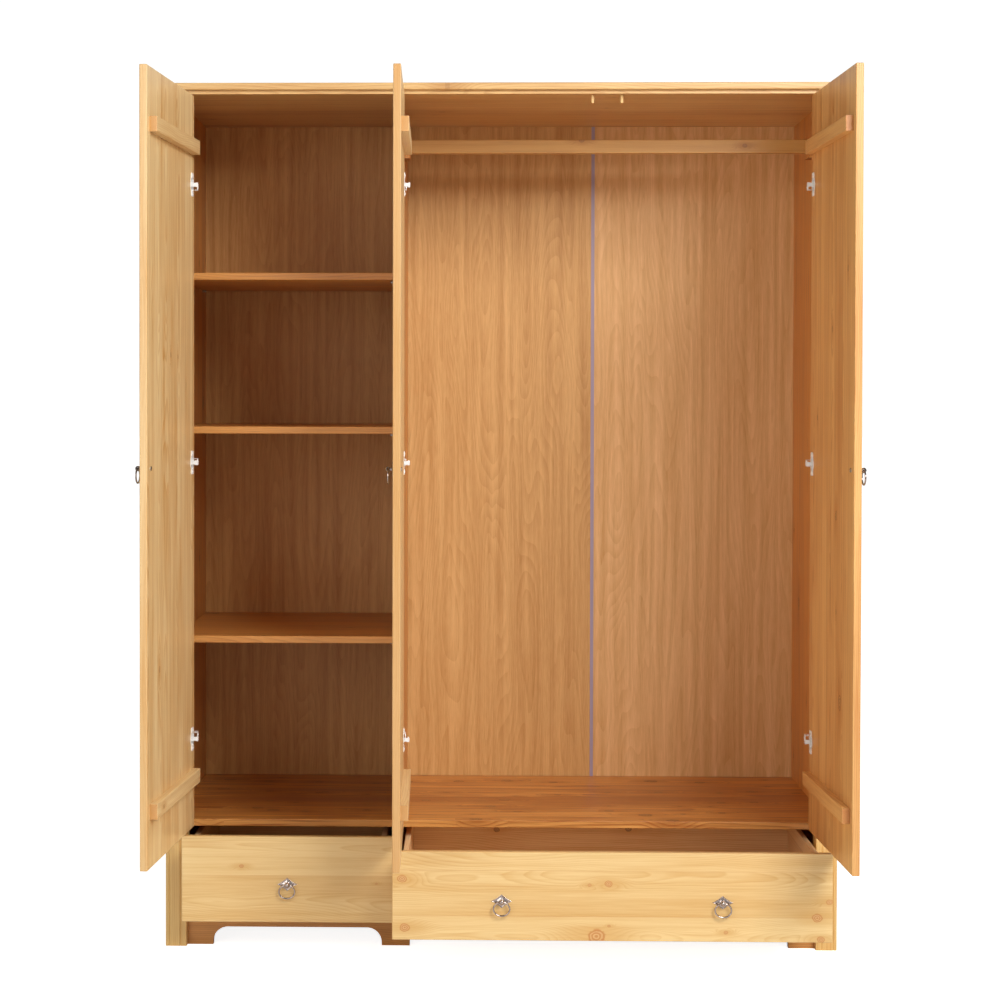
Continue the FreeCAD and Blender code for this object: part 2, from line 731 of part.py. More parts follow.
# ---- hinges --------------------------------------------------------------------------------

HINGE_HEIGHTS = {
    "low": "(door_bottom + hinge_inset)",
    "middle": f"((door_bottom + {DOOR_TOP})/2)",
    "high": f"({DOOR_TOP} - hinge_inset)",
}

# name, edge of the opening that carries the hinges, face they are screwed to, hand, angle
DOORS = [
    ("left", minus(POST_IN), minus(POST_IN), 1, "left_open"),
    ("middle", DIVIDER, DIVIDER_RIGHT, 1, "middle_open"),
    ("right", POST_IN, POST_IN, -1, "right_open"),
]


def hinge_plates():
    """On the posts and the divider: a plate and a channel-shaped arm for each hinge."""
    arm_front = f"({INNER_FRONT} + arm_seat)"
    arm_back = f"({arm_front} + plate_depth)"
    plates = []
    for door, edge, face, hand, _ in DOORS:
        sign = "+" if hand > 0 else "-"

        def across(start, stop):
            return (start, stop) if hand > 0 else (stop, start)

        axis = f"({edge} {sign} pivot_inset)"
        stand = f"({axis} {sign} plate_stand)"
        reach = f"({stand} {sign} arm_reach)"
        for name, height in HINGE_HEIGHTS.items():
            label = f"hinge_plate_{door}_{name}"
            plate = box(
                f"{label}_plate", across(face, stand), (arm_front, arm_back),
                (f"({height} - plate_height/2)", f"({height} + plate_height/2)"),
            )
            arm = box(
                f"{label}_arm", across(stand, reach), (arm_front, arm_back),
                (f"({height} - arm_height/2)", f"({height} + arm_height/2)"),
            )
            web = f"({reach} {'-' if hand > 0 else '+'} arm_wall)"
            inside = box(
                f"{label}_inside", across(stand, web), (arm_front, arm_back),
                (f"({height} - arm_height/2 + arm_wall)", f"({height} + arm_height/2 - arm_wall)"),
            )
            mouth = box(
                f"{label}_mouth", across(stand, reach), (arm_front, f"({arm_front} + arm_mouth)"),
                (f"({height} - arm_height/2 + arm_wall)", f"({height} + arm_height/2 - arm_wall)"),
            )
            hollow = fuse(f"{label}_hollow", [inside, mouth])
            plates.append(fuse(label, [plate, cut(f"{label}_channel", arm, hollow)]))
    group("hinge_plates", plates)


# ---- doors ---------------------------------------------------------------------------------
# A door's pieces are drawn round its hinge axis, with the door closed: x runs from the axis
# along the door, y from the axis through its thickness, and z up from the ground.

HINGED_EDGE = "(door_gap - pivot_inset)"
FREE_EDGE = f"({HINGED_EDGE} + {DOOR_WIDTH})"
FACE_OUT = "pivot_front"
FACE_IN = "(pivot_front + board)"
PULL_HEIGHT = HINGE_HEIGHTS["middle"]


def place_on_door(thing, edge, hand, angle):
    """Swings a piece out with its door, about the door's hinge axis."""
    thing.Placement = FreeCAD.Placement(
        FreeCAD.Vector(0, 0, 0), FreeCAD.Rotation(FreeCAD.Vector(0, 0, 1), -hand * number(angle))
    )
    bind(thing, "Placement.Rotation.Angle", angle)
    thing.Placement.Rotation.Axis = FreeCAD.Vector(0, 0, -hand)
    place(thing, f"({edge} {'+' if hand > 0 else '-'} pivot_inset)", f"({FRONT} - pivot_front)")


def handed(formula, hand):
    return formula if hand > 0 else minus(formula)


def door(name, edge, hand, angle):
    """One door: its panel, two ledges, hinge cups, pull, ring and the pull's screw."""
    def side(formula):
        return handed(formula, hand)

    def on_door(thing, label):
        place_on_door(thing, edge, hand, angle)
        return piece(thing, label)

    pull_at = f"({FREE_EDGE} - pull_inset)"
    label = f"door_{name}"
    body = new_body(label)
    outline = sketch_on(body, "XY", f"{label}_outline", offset="door_bottom")
    draw_outline(outline, rectangle(side(HINGED_EDGE), side(FREE_EDGE), FACE_OUT, FACE_IN))
    pad(body, outline, f"{DOOR_TOP} - door_bottom")
    ease(body, "door_arris", every_edge)
    cup_at = f"({HINGED_EDGE} + cup_setback)"
    bores = sketch_on(body, "XZ", f"{label}_cup_bores", offset=minus(FACE_IN))
    for height in HINGE_HEIGHTS.values():
        draw_circle(bores, side(cup_at), height, "cup_radius + cup_clearance")
    pocket(body, bores, "cup_depth + cup_clearance", back=True)
    hole = sketch_on(body, "XZ", f"{label}_pull_hole", offset=minus(FACE_IN))
    draw_circle(hole, side(pull_at), PULL_HEIGHT, "screw_radius + screw_clearance")
    pocket(body, hole, "board", back=True)
    on_door(body, label)

    ledges = []
    for end, low in (
        ("bottom", "(door_bottom + batten_inset)"),
        ("top", f"({DOOR_TOP} - batten_inset - batten_height)"),
    ):
        ledge = new_body(f"ledge_{name}_{end}")
        section = sketch_on(ledge, "XY", f"ledge_{name}_{end}_outline", offset=low)
        start = f"({HINGED_EDGE} + batten_hinge_end)"
        stop = f"({FREE_EDGE} - batten_free_end)"
        draw_outline(section, rectangle(side(start), side(stop), FACE_IN, f"({FACE_IN} + batten_thick)"))
        pad(ledge, section, "batten_height")
        doc.recompute()
        outer = number(f"({FACE_IN} + batten_thick)")
        ease(ledge, "arris", lambda middle, direction: abs(middle.y - outer) < 0.01)
        ledges.append(ledge)
    on_door(group_only(f"door_{name}_ledges", ledges), f"door_{name}_ledges")
    on_door(hinge_cups(name, side, cup_at), f"door_{name}_hinge_cups")
    on_door(pull_plate(name, side(pull_at), FACE_OUT, PULL_HEIGHT), f"door_{name}_pull")
    on_door(pull_ring(name, side(pull_at), FACE_OUT, PULL_HEIGHT), f"door_{name}_ring")
    on_door(pull_screw(name, side(pull_at), FACE_IN, PULL_HEIGHT), f"door_{name}_pull_screw")


def group_only(name, members):
    compound = doc.addObject("Part::Compound", name)
    compound.Links = members
    return compound


def hinge_cups(name, side, cup_at):
    """Sunk cups with their flanges and the short links that run back to the hinge axis."""
    cups = []
    for level, height in HINGE_HEIGHTS.items():
        label = f"cup_{name}_{level}"
        cup = cylinder(f"{label}_bowl", "cup_radius", "cup_depth", side(cup_at), FACE_IN, height, (0, -1, 0))

        def across(low, high):
            return (side(low), side(high)) if side("1") == "1" else (side(high), side(low))

        flange = box(
            f"{label}_flange", across(f"({cup_at} - flange_width/2)", f"({cup_at} + flange_width/2)"),
            (FACE_IN, f"({FACE_IN} + flange_thick)"),
            (f"({height} - flange_height/2)", f"({height} + flange_height/2)"),
        )
        link = box(
            f"{label}_link", across("link_gap", cup_at),
            (f"({FACE_IN} + seat_gap/4)", f"({FACE_IN} + link_reach)"),
            (f"({height} - link_height/2)", f"({height} + link_height/2)"),
        )
        cups.append(fuse(label, [cup, flange, link]))
    return group_only(f"door_{name}_hinge_cups", cups)


# ---- ring pulls ----------------------------------------------------------------------------
# A pull is drawn on an outward face at depth face, pointing to -y.

def rhombus(x, z, share):
    return [
        (f"({x} - {share}*plate_wide/2)", z), (x, f"({z} - {share}*plate_tall/2)"),
        (f"({x} + {share}*plate_wide/2)", z), (x, f"({z} + {share}*plate_tall/2)"),
    ]


def pull_plate(name, x, face, z):
    """A rhombic plate that rises to a stem and a ball, bored across for the ring."""
    body = new_body(f"pull_{name}")
    rim = sketch_on(body, "XZ", f"pull_{name}_rim", offset=minus(face))
    draw_outline(rim, rhombus(x, z, "1"))
    pad(body, rim, "plate_rim")
    base = sketch_on(body, "XZ", f"pull_{name}_slope_base", offset=f"(plate_rim - {face})")
    draw_outline(base, rhombus(x, z, "1"))
    crown = sketch_on(body, "XZ", f"pull_{name}_crown", offset=f"(plate_crown - {face})")
    draw_outline(crown, rhombus(x, z, "crown_share"))
    slope = body.newObject("PartDesign::AdditiveLoft", f"pull_{name}_slope")
    slope.Profile = base
    slope.Sections = [crown]
    slope.Ruled = True
    body.Tip = slope
    stem = sketch_on(body, "XZ", f"pull_{name}_stem", offset=f"(plate_rim - {face})")
    draw_circle(stem, x, z, "stem_radius")
    pad(body, stem, "ball_reach - plate_rim")
    ball_profile(body, name, x, face, z)
    bore = sketch_on(body, "YZ", f"pull_{name}_bore", offset=x)
    draw_circle(bore, f"({face} - ball_reach)", z, BORE_RADIUS)
    pocket(body, bore, "4*ball_radius", middle=True)
    return body


# The ring's wire curves inside the ball, so its bore is wider than the wire by that sag.
RING_CURVE = "(ring_wide^2/(2*ring_tall))"
RING_SAG = f"({RING_CURVE} - sqrt({RING_CURVE}^2 - ball_radius^2))"
BORE_RADIUS = f"(ring_wire + {RING_SAG} + ring_clearance)"


def ball_profile(body, name, x, face, z):
    """The ball, turned about the pull's own axis."""
    half = sketch_on(body, "XY", f"pull_{name}_ball", offset=z)
    centre = FreeCAD.Vector(number(x), number(f"{face} - ball_reach"), 0)
    radius = number("ball_radius")
    circle = Part.Circle(centre, FreeCAD.Vector(0, 0, 1), radius)
    quarter = 1.5707963267948966
    arc = half.addGeometry(Part.ArcOfCircle(circle, -quarter, quarter), False)
    low = centre - FreeCAD.Vector(0, radius, 0)
    high = centre + FreeCAD.Vector(0, radius, 0)
    line = half.addGeometry(Part.LineSegment(high, low), False)
    half.addConstraint(Sketcher.Constraint("Coincident", arc, 2, line, 1))
    half.addConstraint(Sketcher.Constraint("Coincident", line, 2, arc, 1))
    half.addConstraint(Sketcher.Constraint("Vertical", line))
    half.addConstraint(Sketcher.Constraint("PointOnObject", arc, 3, line))
    hold_point(half, arc, 3, x, f"({face} - ball_reach)")
    index = half.addConstraint(Sketcher.Constraint("Radius", arc, radius))
    half.renameConstraint(index, "ball")
    bind(half, "Constraints.ball", "ball_radius")
    turned = body.newObject("PartDesign::Revolution", f"pull_{name}_turned")
    turned.Profile = half
    turned.ReferenceAxis = (half, ["Edge2"])
    turned.Angle = 360
    body.Tip = turned


def pull_ring(name, x, face, z):
    """An oval ring of round wire that hangs through the ball."""
    body = new_body(f"ring_{name}")
    path = sketch_on(body, "XZ", f"ring_{name}_path", offset=f"(ball_reach - {face})")
    low = f"({z} - ring_tall/2)"
    centre = FreeCAD.Vector(number(x), number(low), 0)
    across = centre + FreeCAD.Vector(number("ring_wide/2"), 0, 0)
    down = centre - FreeCAD.Vector(0, number("ring_tall/2"), 0)
    oval = path.addGeometry(Part.Ellipse(across, down, centre), False)
    path.exposeInternalGeometry(oval)
    hold_point(path, oval, 3, x, low)
    path.addConstraint(Sketcher.Constraint("Horizontal", 1))
    hold_length(path, 1, "ring_wide")
    hold_length(path, 2, "ring_tall")
    wire = sketch_on(body, "YZ", f"ring_{name}_wire", offset=x)
    draw_circle(wire, f"({face} - ball_reach)", z, "ring_wire")
    pipe = body.newObject("PartDesign::AdditivePipe", f"ring_{name}_pipe")
    pipe.Profile = wire
    pipe.Spine = (path, ["Edge1"])
    body.Tip = pipe
    return body


def hold_length(sketch, line, length):
    """Keeps one axis of an ellipse at its length."""
    index = sketch.addConstraint(Sketcher.Constraint("Distance", line, number(length)))
    sketch.renameConstraint(index, f"axis_{line}")
    bind(sketch, f"Constraints.axis_{line}", length)


def pull_screw(name, x, face, z):
    """The screw that holds a pull, from inside: its head on the wood, its shank to the plate."""
    head = cylinder(f"screw_{name}_head", "screw_head", "screw_head_thick", x, face, z, (0, 1, 0))
    shank = cylinder(f"screw_{name}_shank", "screw_radius", "board", x, face, z, (0, -1, 0))
    return fuse(f"screw_{name}", [head, shank])


# ---- drawers -------------------------------------------------------------------------------

def drawer(name, opening, sides, pulls, drawn_out):
    """One drawer: front, grooved sides, back and bottom, drawn closed and then pulled out."""
    def pull_out(thing, label):
        place(thing, y=minus(drawn_out))
        return piece(thing, label)

    front_low, front_high = "front_bottom", FRONT_TOP
    pull_height = "(front_bottom + drawer_pull_height)"
    body = new_body(f"{name}_front")
    outline = sketch_on(body, "XY", f"{name}_front_outline", offset=front_low)
    draw_outline(outline, rectangle(opening[0], opening[1], FRONT, BOX_FRONT))
    pad(body, outline, f"{front_high} - {front_low}")
    ease(body, "door_arris", every_edge)
    holes = sketch_on(body, "XZ", f"{name}_pull_holes", offset=minus(BOX_FRONT))
    for x in pulls.values():
        draw_circle(holes, x, pull_height, "screw_radius + screw_clearance")
    pocket(body, holes, "board", back=True)
    pull_out(body, f"{name}_front")

    box_back = f"({BOX_FRONT} + box_length)"
    inner = (f"({sides[0]} + box_board)", f"({sides[1]} - box_board)")
    for side, low, high, sign in (("left", sides[0], inner[0], 1), ("right", inner[1], sides[1], -1)):
        drawer_side(name, side, low, high, sign, box_back, pull_out)
    base_low = "(box_bottom + base_rise)"
    base_high = f"({base_low} + base_thick)"
    wall = board_only(
        f"{name}_back", inner, (f"({box_back} - box_board)", box_back),
        (base_high, f"({BOX_TOP} - back_drop)"),
    )
    pull_out(wall, f"{name}_back")
    base = board_only(
        f"{name}_bottom", (f"({inner[0]} - base_tongue)", f"({inner[1]} + base_tongue)"),
        (BOX_FRONT, box_back), (base_low, base_high),
    )
    pull_out(base, f"{name}_bottom")

    plates, screws = [], []
    for which, x in pulls.items():
        plates.append(pull_plate(which, x, FRONT, pull_height))
        screws.append(pull_screw(which, x, BOX_FRONT, pull_height))
        pull_out(pull_ring(which, x, FRONT, pull_height), f"{which}_ring")
    pull_out(group_only(f"{name}_pulls", plates), f"{name}_pulls")
    pull_out(group_only(f"{name}_pull_screws", screws), f"{name}_pull_screws")


def board_only(label, x, y, z):
    """A flat board drawn in the wardrobe's frame, for a sub-part that is placed afterwards."""
    body = new_body(label)
    sketch = sketch_on(body, "XY", f"{label}_outline", offset=z[0])
    draw_outline(sketch, rectangle(x[0], x[1], y[0], y[1]))
    pad(body, sketch, f"{z[1]} - {z[0]}")
    return body


def drawer_side(name, side, low, high, sign, back, pull_out):
    """A drawer side with a groove outside for its runner and one inside for the bottom."""
    label = f"{name}_side_{side}"
    body = new_body(label)
    section = sketch_on(body, "XZ", f"{label}_section", offset=minus(BOX_FRONT))
    outer, inner = (low, high) if sign > 0 else (high, low)
    groove = f"({outer} {'+' if sign > 0 else '-'} runner_tongue)"
    groove_low = f"({RUNNER_LOW} - runner_clearance)"
    groove_high = f"({RUNNER_LOW} + runner_height + runner_clearance)"
    slot = f"({inner} {'-' if sign > 0 else '+'} base_tongue)"
    slot_low = "(box_bottom + base_rise)"
    slot_high = f"({slot_low} + base_thick)"
    draw_outline(section, [
        (outer, "box_bottom"), (inner, "box_bottom"), (inner, slot_low), (slot, slot_low), (slot, slot_high),
        (inner, slot_high), (inner, BOX_TOP), (outer, BOX_TOP), (outer, groove_high), (groove, groove_high),
        (groove, groove_low), (outer, groove_low),
    ])
    pad(body, section, "box_length", back=True)
    doc.recompute()
    top = number(BOX_TOP)
    ease(body, "arris", lambda middle, direction: abs(middle.z - top) < 0.01 and abs(direction.y) > 0.9)
    pull_out(body, label)


# ---- build ---------------------------------------------------------------------------------

def build():
    front_posts()
    side_panels()
    divider()
    floor_board()
    drawer_divider()
    top_board()
    plinth()
    back_panels()
    shelves()
    clothes_rail()
    stop_pegs()
    runners()
    carcass_screws()
    hinge_plates()
    for name, edge, _, hand, angle in DOORS:
        door(name, edge, hand, angle)
    post_side = f"({minus(POST_IN)} + box_side_gap)"
    drawer(
        "left_drawer",
        (f"({minus(POST_IN)} + door_gap)", f"({DIVIDER} - door_gap)"),
        (post_side, f"({DIVIDER_LEFT} - box_side_gap)"),
        {"left_drawer_pull": f"(({minus(POST_IN)} + {DIVIDER})/2)"},
        "left_out",
    )
    middle = f"(({DIVIDER} + {POST_IN})/2)"
    quarter = f"(({POST_IN} - {DIVIDER})/4)"
    drawer(
        "right_drawer",
        (f"({DIVIDER} + door_gap)", f"({POST_IN} - door_gap)"),
        (f"({DIVIDER_RIGHT} + box_side_gap)", f"({POST_IN} - box_side_gap)"),
        {"right_drawer_pull_a": f"({middle} - {quarter})", "right_drawer_pull_b": f"({middle} + {quarter})"},
        "right_out",
    )
    doc.recompute()


def check():
    """Stops on a failed object or a sub-part with no valid shape."""
    failed = [o.Name for o in doc.Objects if {"Invalid", "Error"} & set(o.State)]
    if failed:
        raise RuntimeError(f"failed objects: {failed}")
    for thing in pieces:
        if thing.Shape.isNull() or not thing.Shape.isValid():
            raise RuntimeError(f"{thing.Label} has no valid shape")
    labels = [thing.Label for thing in pieces]
    if len(set(labels)) != len(labels):
        raise RuntimeError("two sub-parts share a name")


def write():
    os.makedirs("parts", exist_ok=True)
    for thing in pieces:
        thing.Shape.exportStep(f"parts/{thing.Label}.step")


build()
check()
write()
print(f"OK {len(pieces)} sub-parts")
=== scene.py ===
import json
import math

import bmesh
import bpy
from mathutils import Matrix, Vector


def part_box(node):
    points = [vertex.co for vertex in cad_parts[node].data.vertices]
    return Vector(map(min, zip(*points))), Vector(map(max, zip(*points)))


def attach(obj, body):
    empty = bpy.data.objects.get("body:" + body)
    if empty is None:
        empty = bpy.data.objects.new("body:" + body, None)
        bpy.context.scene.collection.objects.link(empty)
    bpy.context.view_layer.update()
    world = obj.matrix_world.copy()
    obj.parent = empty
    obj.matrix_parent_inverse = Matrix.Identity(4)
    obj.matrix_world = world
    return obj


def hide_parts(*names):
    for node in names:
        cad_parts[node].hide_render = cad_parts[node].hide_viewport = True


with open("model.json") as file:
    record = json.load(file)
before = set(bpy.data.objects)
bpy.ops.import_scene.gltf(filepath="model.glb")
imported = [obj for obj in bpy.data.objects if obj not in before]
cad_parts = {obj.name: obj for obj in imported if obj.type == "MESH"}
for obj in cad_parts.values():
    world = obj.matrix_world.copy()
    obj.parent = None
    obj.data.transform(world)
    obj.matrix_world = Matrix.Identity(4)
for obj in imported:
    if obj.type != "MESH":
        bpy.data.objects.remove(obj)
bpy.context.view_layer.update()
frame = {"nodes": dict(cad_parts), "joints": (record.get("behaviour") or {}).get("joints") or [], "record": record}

# A three-door pine wardrobe in warm varnish, with nickel ring pulls and concealed hinges.
# Everything is in metres, on the frame's own axes: the doors face -Y and the wall is at Y = 0.

MM = 0.001
JOINTS = {joint["name"]: joint for joint in frame["joints"]}
NODES = frame["nodes"]
BODY_OF = {node: body for body, nodes in frame["record"]["behaviour"]["bodies"].items() for node in nodes}
UP = Vector((0, 0, 1))
RIGHT = Vector((1, 0, 0))
BACK = Vector((0, 1, 0))


def linear(hex_colour, alpha=1.0):
    """An sRGB hex colour as the linear values that shaders use."""
    shares = [int(hex_colour[i:i + 2], 16) / 255 for i in (1, 3, 5)]
    return (*[c / 12.92 if c <= 0.04045 else ((c + 0.055) / 1.055) ** 2.4 for c in shares], alpha)


def add(tree, kind, inputs=(), **settings):
    """One node of a tree, with its settings, and each input's value or what feeds it."""
    node = tree.nodes.new(kind)
    for name, value in settings.items():
        setattr(node, name, value)
    for socket, value in dict(inputs).items():
        source = value.outputs[0] if isinstance(value, bpy.types.Node) else value
        if isinstance(source, bpy.types.NodeSocket):
            tree.links.new(source, node.inputs[socket])
        else:
            node.inputs[socket].default_value = source
    return node


def group_tree(name, kind, inputs, outputs):
    """An empty node group with named inputs and outputs, and its two end nodes."""
    tree = bpy.data.node_groups.new(name, kind)
    for label, socket, default in inputs:
        made = tree.interface.new_socket(label, in_out="INPUT", socket_type=socket)
        if default is not None:
            made.default_value = default
    for label, socket in outputs:
        tree.interface.new_socket(label, in_out="OUTPUT", socket_type=socket)
    return tree, add(tree, "NodeGroupInput"), add(tree, "NodeGroupOutput")


def maths(tree, operation, *values, **settings):
    """A maths node of these values, or of what feeds them."""
    return add(tree, "ShaderNodeMath", dict(enumerate(values)), operation=operation, **settings)


def vectors(tree, operation, *values):
    """A vector maths node of these values, or of what feeds them."""
    return add(tree, "ShaderNodeVectorMath", dict(enumerate(values)), operation=operation)


def spread(tree, value, source, target, **settings):
    """A value's range turned into another range."""
    inputs = {0: value, 1: source[0], 2: source[1], 3: target[0], 4: target[1]}
    return add(tree, "ShaderNodeMapRange", inputs, **settings)


def noise(tree, place, scale, detail, **inputs):
    """A noise texture, whose first output is its value."""
    return add(tree, "ShaderNodeTexNoise", {"Vector": place, "Scale": scale, "Detail": detail, **inputs})


def blend(tree, share, first, second):
    """The colour that is a share of the way from the first to the second."""
    return add(tree, "ShaderNodeMix", {0: share, 6: first, 7: second}, data_type="RGBA").outputs[2]


def blank_material(name):
    """A new material and its empty node tree."""
    material = bpy.data.materials.new(name)
    material.use_nodes = True
    material.node_tree.nodes.clear()
    return material, material.node_tree


# ---- pine ----------------------------------------------------------------------------------

def pine_figure():
    """The figure of edge-glued pine boards. Board coordinates are in millimetres: x runs along
    the grain, y across the board and z through it, so ends and edges show their own grain."""
    tree, given, out = group_tree(
        "pine figure", "ShaderNodeTree",
        [
            ("Board", "NodeSocketVector", None),
            ("Seed", "NodeSocketFloat", 0.0),
            ("Stave width", "NodeSocketFloat", 92.0),
            ("Ring spacing", "NodeSocketFloat", 4.2),
            ("Knot share", "NodeSocketFloat", 0.35),
            ("Knot spacing", "NodeSocketFloat", 190.0),
            ("Contrast", "NodeSocketFloat", 1.0),
            ("Placed flow", "NodeSocketFloat", 0.0),
            ("Placed share", "NodeSocketFloat", 9.0),
            ("End grain and edge shade", "NodeSocketFloat", 0.0),
            ("Early wood", "NodeSocketColor", linear("#E9C78A")),
            ("Late wood", "NodeSocketColor", linear("#C98F4C")),
            ("Knot", "NodeSocketColor", linear("#7E4218")),
        ],
        [("Color", "NodeSocketColor"), ("Height", "NodeSocketFloat"), ("Late", "NodeSocketFloat")],
    )
    g = given.outputs
    place = add(tree, "ShaderNodeSeparateXYZ", {0: g["Board"]}).outputs

    # Which stave of the glued board this is, and where across it.
    seed_shift = maths(tree, "MULTIPLY", g["Seed"], 7.31)
    in_staves = maths(tree, "DIVIDE", place[1], g["Stave width"])
    along_row = maths(tree, "ADD", in_staves, seed_shift)
    stave = maths(tree, "FLOOR", along_row)
    share = maths(tree, "FRACT", along_row)
    centred = maths(tree, "SUBTRACT", share, 0.5)
    across = maths(tree, "MULTIPLY", centred, g["Stave width"])
    stave_key = add(tree, "ShaderNodeCombineXYZ", {0: stave, 1: g["Seed"], 2: 3.7})
    chance = add(tree, "ShaderNodeTexWhiteNoise", {"Vector": stave_key}, noise_dimensions="3D")
    luck = add(tree, "ShaderNodeSeparateXYZ", {0: chance.outputs["Color"]}).outputs

    # Each stave starts elsewhere in the tree.
    run = maths(tree, "MULTIPLY_ADD", luck[0], 5000.0, place[0])

    # The tree's middle wanders slowly along the stave.
    slow = maths(tree, "MULTIPLY", run, 1 / 620)
    cross_slow = maths(tree, "MULTIPLY", across, 1 / 170)
    slow_key = add(tree, "ShaderNodeCombineXYZ", {0: slow, 1: cross_slow, 2: stave})
    wander = noise(tree, slow_key, 1.0, 2.0, Roughness=0.45)
    drift = add(tree, "ShaderNodeSeparateXYZ", {0: wander.outputs["Color"]}).outputs

    # Knots: a few to each board, each with a stretched zone where the grain flows round it.
    knot_place = add(tree, "ShaderNodeCombineXYZ", {0: place[0], 1: place[1], 2: 0.0})
    knot_turned = vectors(tree, "ADD", knot_place, (317.0, 131.0, 0.0))
    seed_vector = add(tree, "ShaderNodeCombineXYZ", {0: g["Seed"], 1: g["Seed"], 2: 0.0})
    seed_far = vectors(tree, "MULTIPLY", seed_vector, (913.0, 577.0, 0.0))
    knot_key = vectors(tree, "ADD", knot_turned, seed_far)
    per_knot = maths(tree, "DIVIDE", 1.0, g["Knot spacing"])
    knot_grid = add(tree, "ShaderNodeVectorMath", {0: knot_key, "Scale": per_knot}, operation="SCALE")
    one_in_each = {"Vector": knot_grid, "Scale": 1.0, "Randomness": 0.85}
    cells = add(tree, "ShaderNodeTexVoronoi", one_in_each, voronoi_dimensions="2D")
    from_knot = vectors(tree, "SUBTRACT", knot_grid, cells.outputs["Position"])
    by_spacing = {0: from_knot, "Scale": g["Knot spacing"]}
    knot_mm = add(tree, "ShaderNodeVectorMath", by_spacing, operation="SCALE")
    knot_luck = add(tree, "ShaderNodeSeparateXYZ", {0: cells.outputs["Color"]}).outputs
    has_knot = maths(tree, "LESS_THAN", knot_luck[0], g["Knot share"])
    size_luck = maths(tree, "MULTIPLY", knot_luck[1], knot_luck[1])
    knot_radius = spread(tree, size_luck, (0.0, 1.0), (3.5, 12.0))
    ragged = noise(tree, knot_key, 0.09, 2.0)
    ragged_mm = spread(tree, ragged.outputs[0], (0.3, 0.7), (0.75, 1.25))
    knot_edge = maths(tree, "MULTIPLY", knot_radius, ragged_mm)
    round_mm = vectors(tree, "MULTIPLY", knot_mm, (0.8, 1.0, 0.0))
    round_far = vectors(tree, "LENGTH", round_mm).outputs["Value"]
    knot_share = maths(tree, "DIVIDE", round_far, knot_edge)
    flow_mm = vectors(tree, "MULTIPLY", knot_mm, (0.3, 1.0, 0.0))
    flow_far = vectors(tree, "LENGTH", flow_mm).outputs["Value"]
    flow_share = maths(tree, "DIVIDE", flow_far, knot_radius)
    flow_zone = spread(tree, flow_share, (0.2, 3.2), (1.0, 0.0), interpolation_type="SMOOTHERSTEP")
    own_flow = maths(tree, "MULTIPLY", flow_zone, has_knot)
    flow = maths(tree, "MAXIMUM", own_flow, g["Placed flow"])
    no_knot = maths(tree, "SUBTRACT", 1.0, has_knot)
    own_share = maths(tree, "MULTIPLY_ADD", no_knot, 9.0, knot_share)
    any_share = maths(tree, "MINIMUM", own_share, g["Placed share"])

    # Growth rings round the tree's middle, pushed aside by the knots.
    middle_y = spread(tree, luck[1], (0.0, 1.0), (-55.0, 55.0))
    middle_z = spread(tree, luck[2], (0.0, 1.0), (18.0, 75.0))
    drift_y = spread(tree, drift[0], (0.25, 0.75), (-15.0, 15.0), clamp=False)
    drift_z = spread(tree, drift[1], (0.25, 0.75), (-14.0, 14.0), clamp=False)
    off_y = maths(tree, "SUBTRACT", across, middle_y)
    ring_y = maths(tree, "ADD", off_y, drift_y)
    off_z = maths(tree, "ADD", place[2], middle_z)
    ring_z = maths(tree, "ADD", off_z, drift_z)
    ring_place = add(tree, "ShaderNodeCombineXYZ", {0: ring_y, 1: ring_z, 2: 0.0})
    ring_far = vectors(tree, "LENGTH", ring_place).outputs["Value"]
    rings = maths(tree, "DIVIDE", ring_far, g["Ring spacing"])
    pushed = maths(tree, "MULTIPLY_ADD", flow, 3.4, rings)
    shiver_key = vectors(tree, "MULTIPLY", g["Board"], (0.004, 0.12, 0.12))
    shiver = noise(tree, shiver_key, 1.0, 2.0)
    shaken = maths(tree, "MULTIPLY_ADD", shiver.outputs[0], 0.3, pushed)
    year = maths(tree, "FRACT", shaken)
    late = add(tree, "ShaderNodeValToRGB", {0: year})
    ramp = late.color_ramp
    ramp.elements[0].position, ramp.elements[0].color = 0.0, (0.1, 0.1, 0.1, 1)
    ramp.elements[1].position, ramp.elements[1].color = 0.45, (0.22, 0.22, 0.22, 1)
    for position, value in ((0.78, 0.75), (0.9, 1.0), (1.0, 0.12)):
        ramp.elements.new(position).color = (value, value, value, 1)

    # Fibres and pores: fine streaks along the grain.
    fibre_key = add(tree, "ShaderNodeCombineXYZ", {0: run, 1: place[1], 2: place[2]})
    fibre_place = vectors(tree, "MULTIPLY", fibre_key, (0.011, 0.55, 0.55))
    fibres = noise(tree, fibre_place, 1.0, 4.0, Roughness=0.62)
    streak_place = vectors(tree, "MULTIPLY", fibre_key, (0.0022, 0.07, 0.07))
    streaks = noise(tree, streak_place, 1.0, 3.0, Roughness=0.6)
    cloud_place = vectors(tree, "MULTIPLY", fibre_key, (0.0016, 0.008, 0.008))
    clouds = noise(tree, cloud_place, 1.0, 2.0)

    # How far from early to late wood, from all of these.
    fibre_part = spread(tree, fibres.outputs[0], (0.3, 0.7), (-0.16, 0.16))
    streak_part = spread(tree, streaks.outputs[0], (0.3, 0.7), (-0.24, 0.24))
    cloud_part = spread(tree, clouds.outputs[0], (0.3, 0.7), (-0.14, 0.14))
    stave_part = spread(tree, luck[2], (0.0, 1.0), (-0.14, 0.14))
    ring_part = maths(tree, "MULTIPLY", late.outputs[0], 0.4)
    sum_a = maths(tree, "ADD", fibre_part, streak_part)
    sum_b = maths(tree, "ADD", sum_a, cloud_part)
    sum_c = maths(tree, "ADD", sum_b, stave_part)
    sum_d = maths(tree, "ADD", sum_c, ring_part)
    figure = maths(tree, "MULTIPLY_ADD", sum_d, g["Contrast"], 0.12, use_clamp=True)
    wood = blend(tree, figure, g["Early wood"], g["Late wood"])

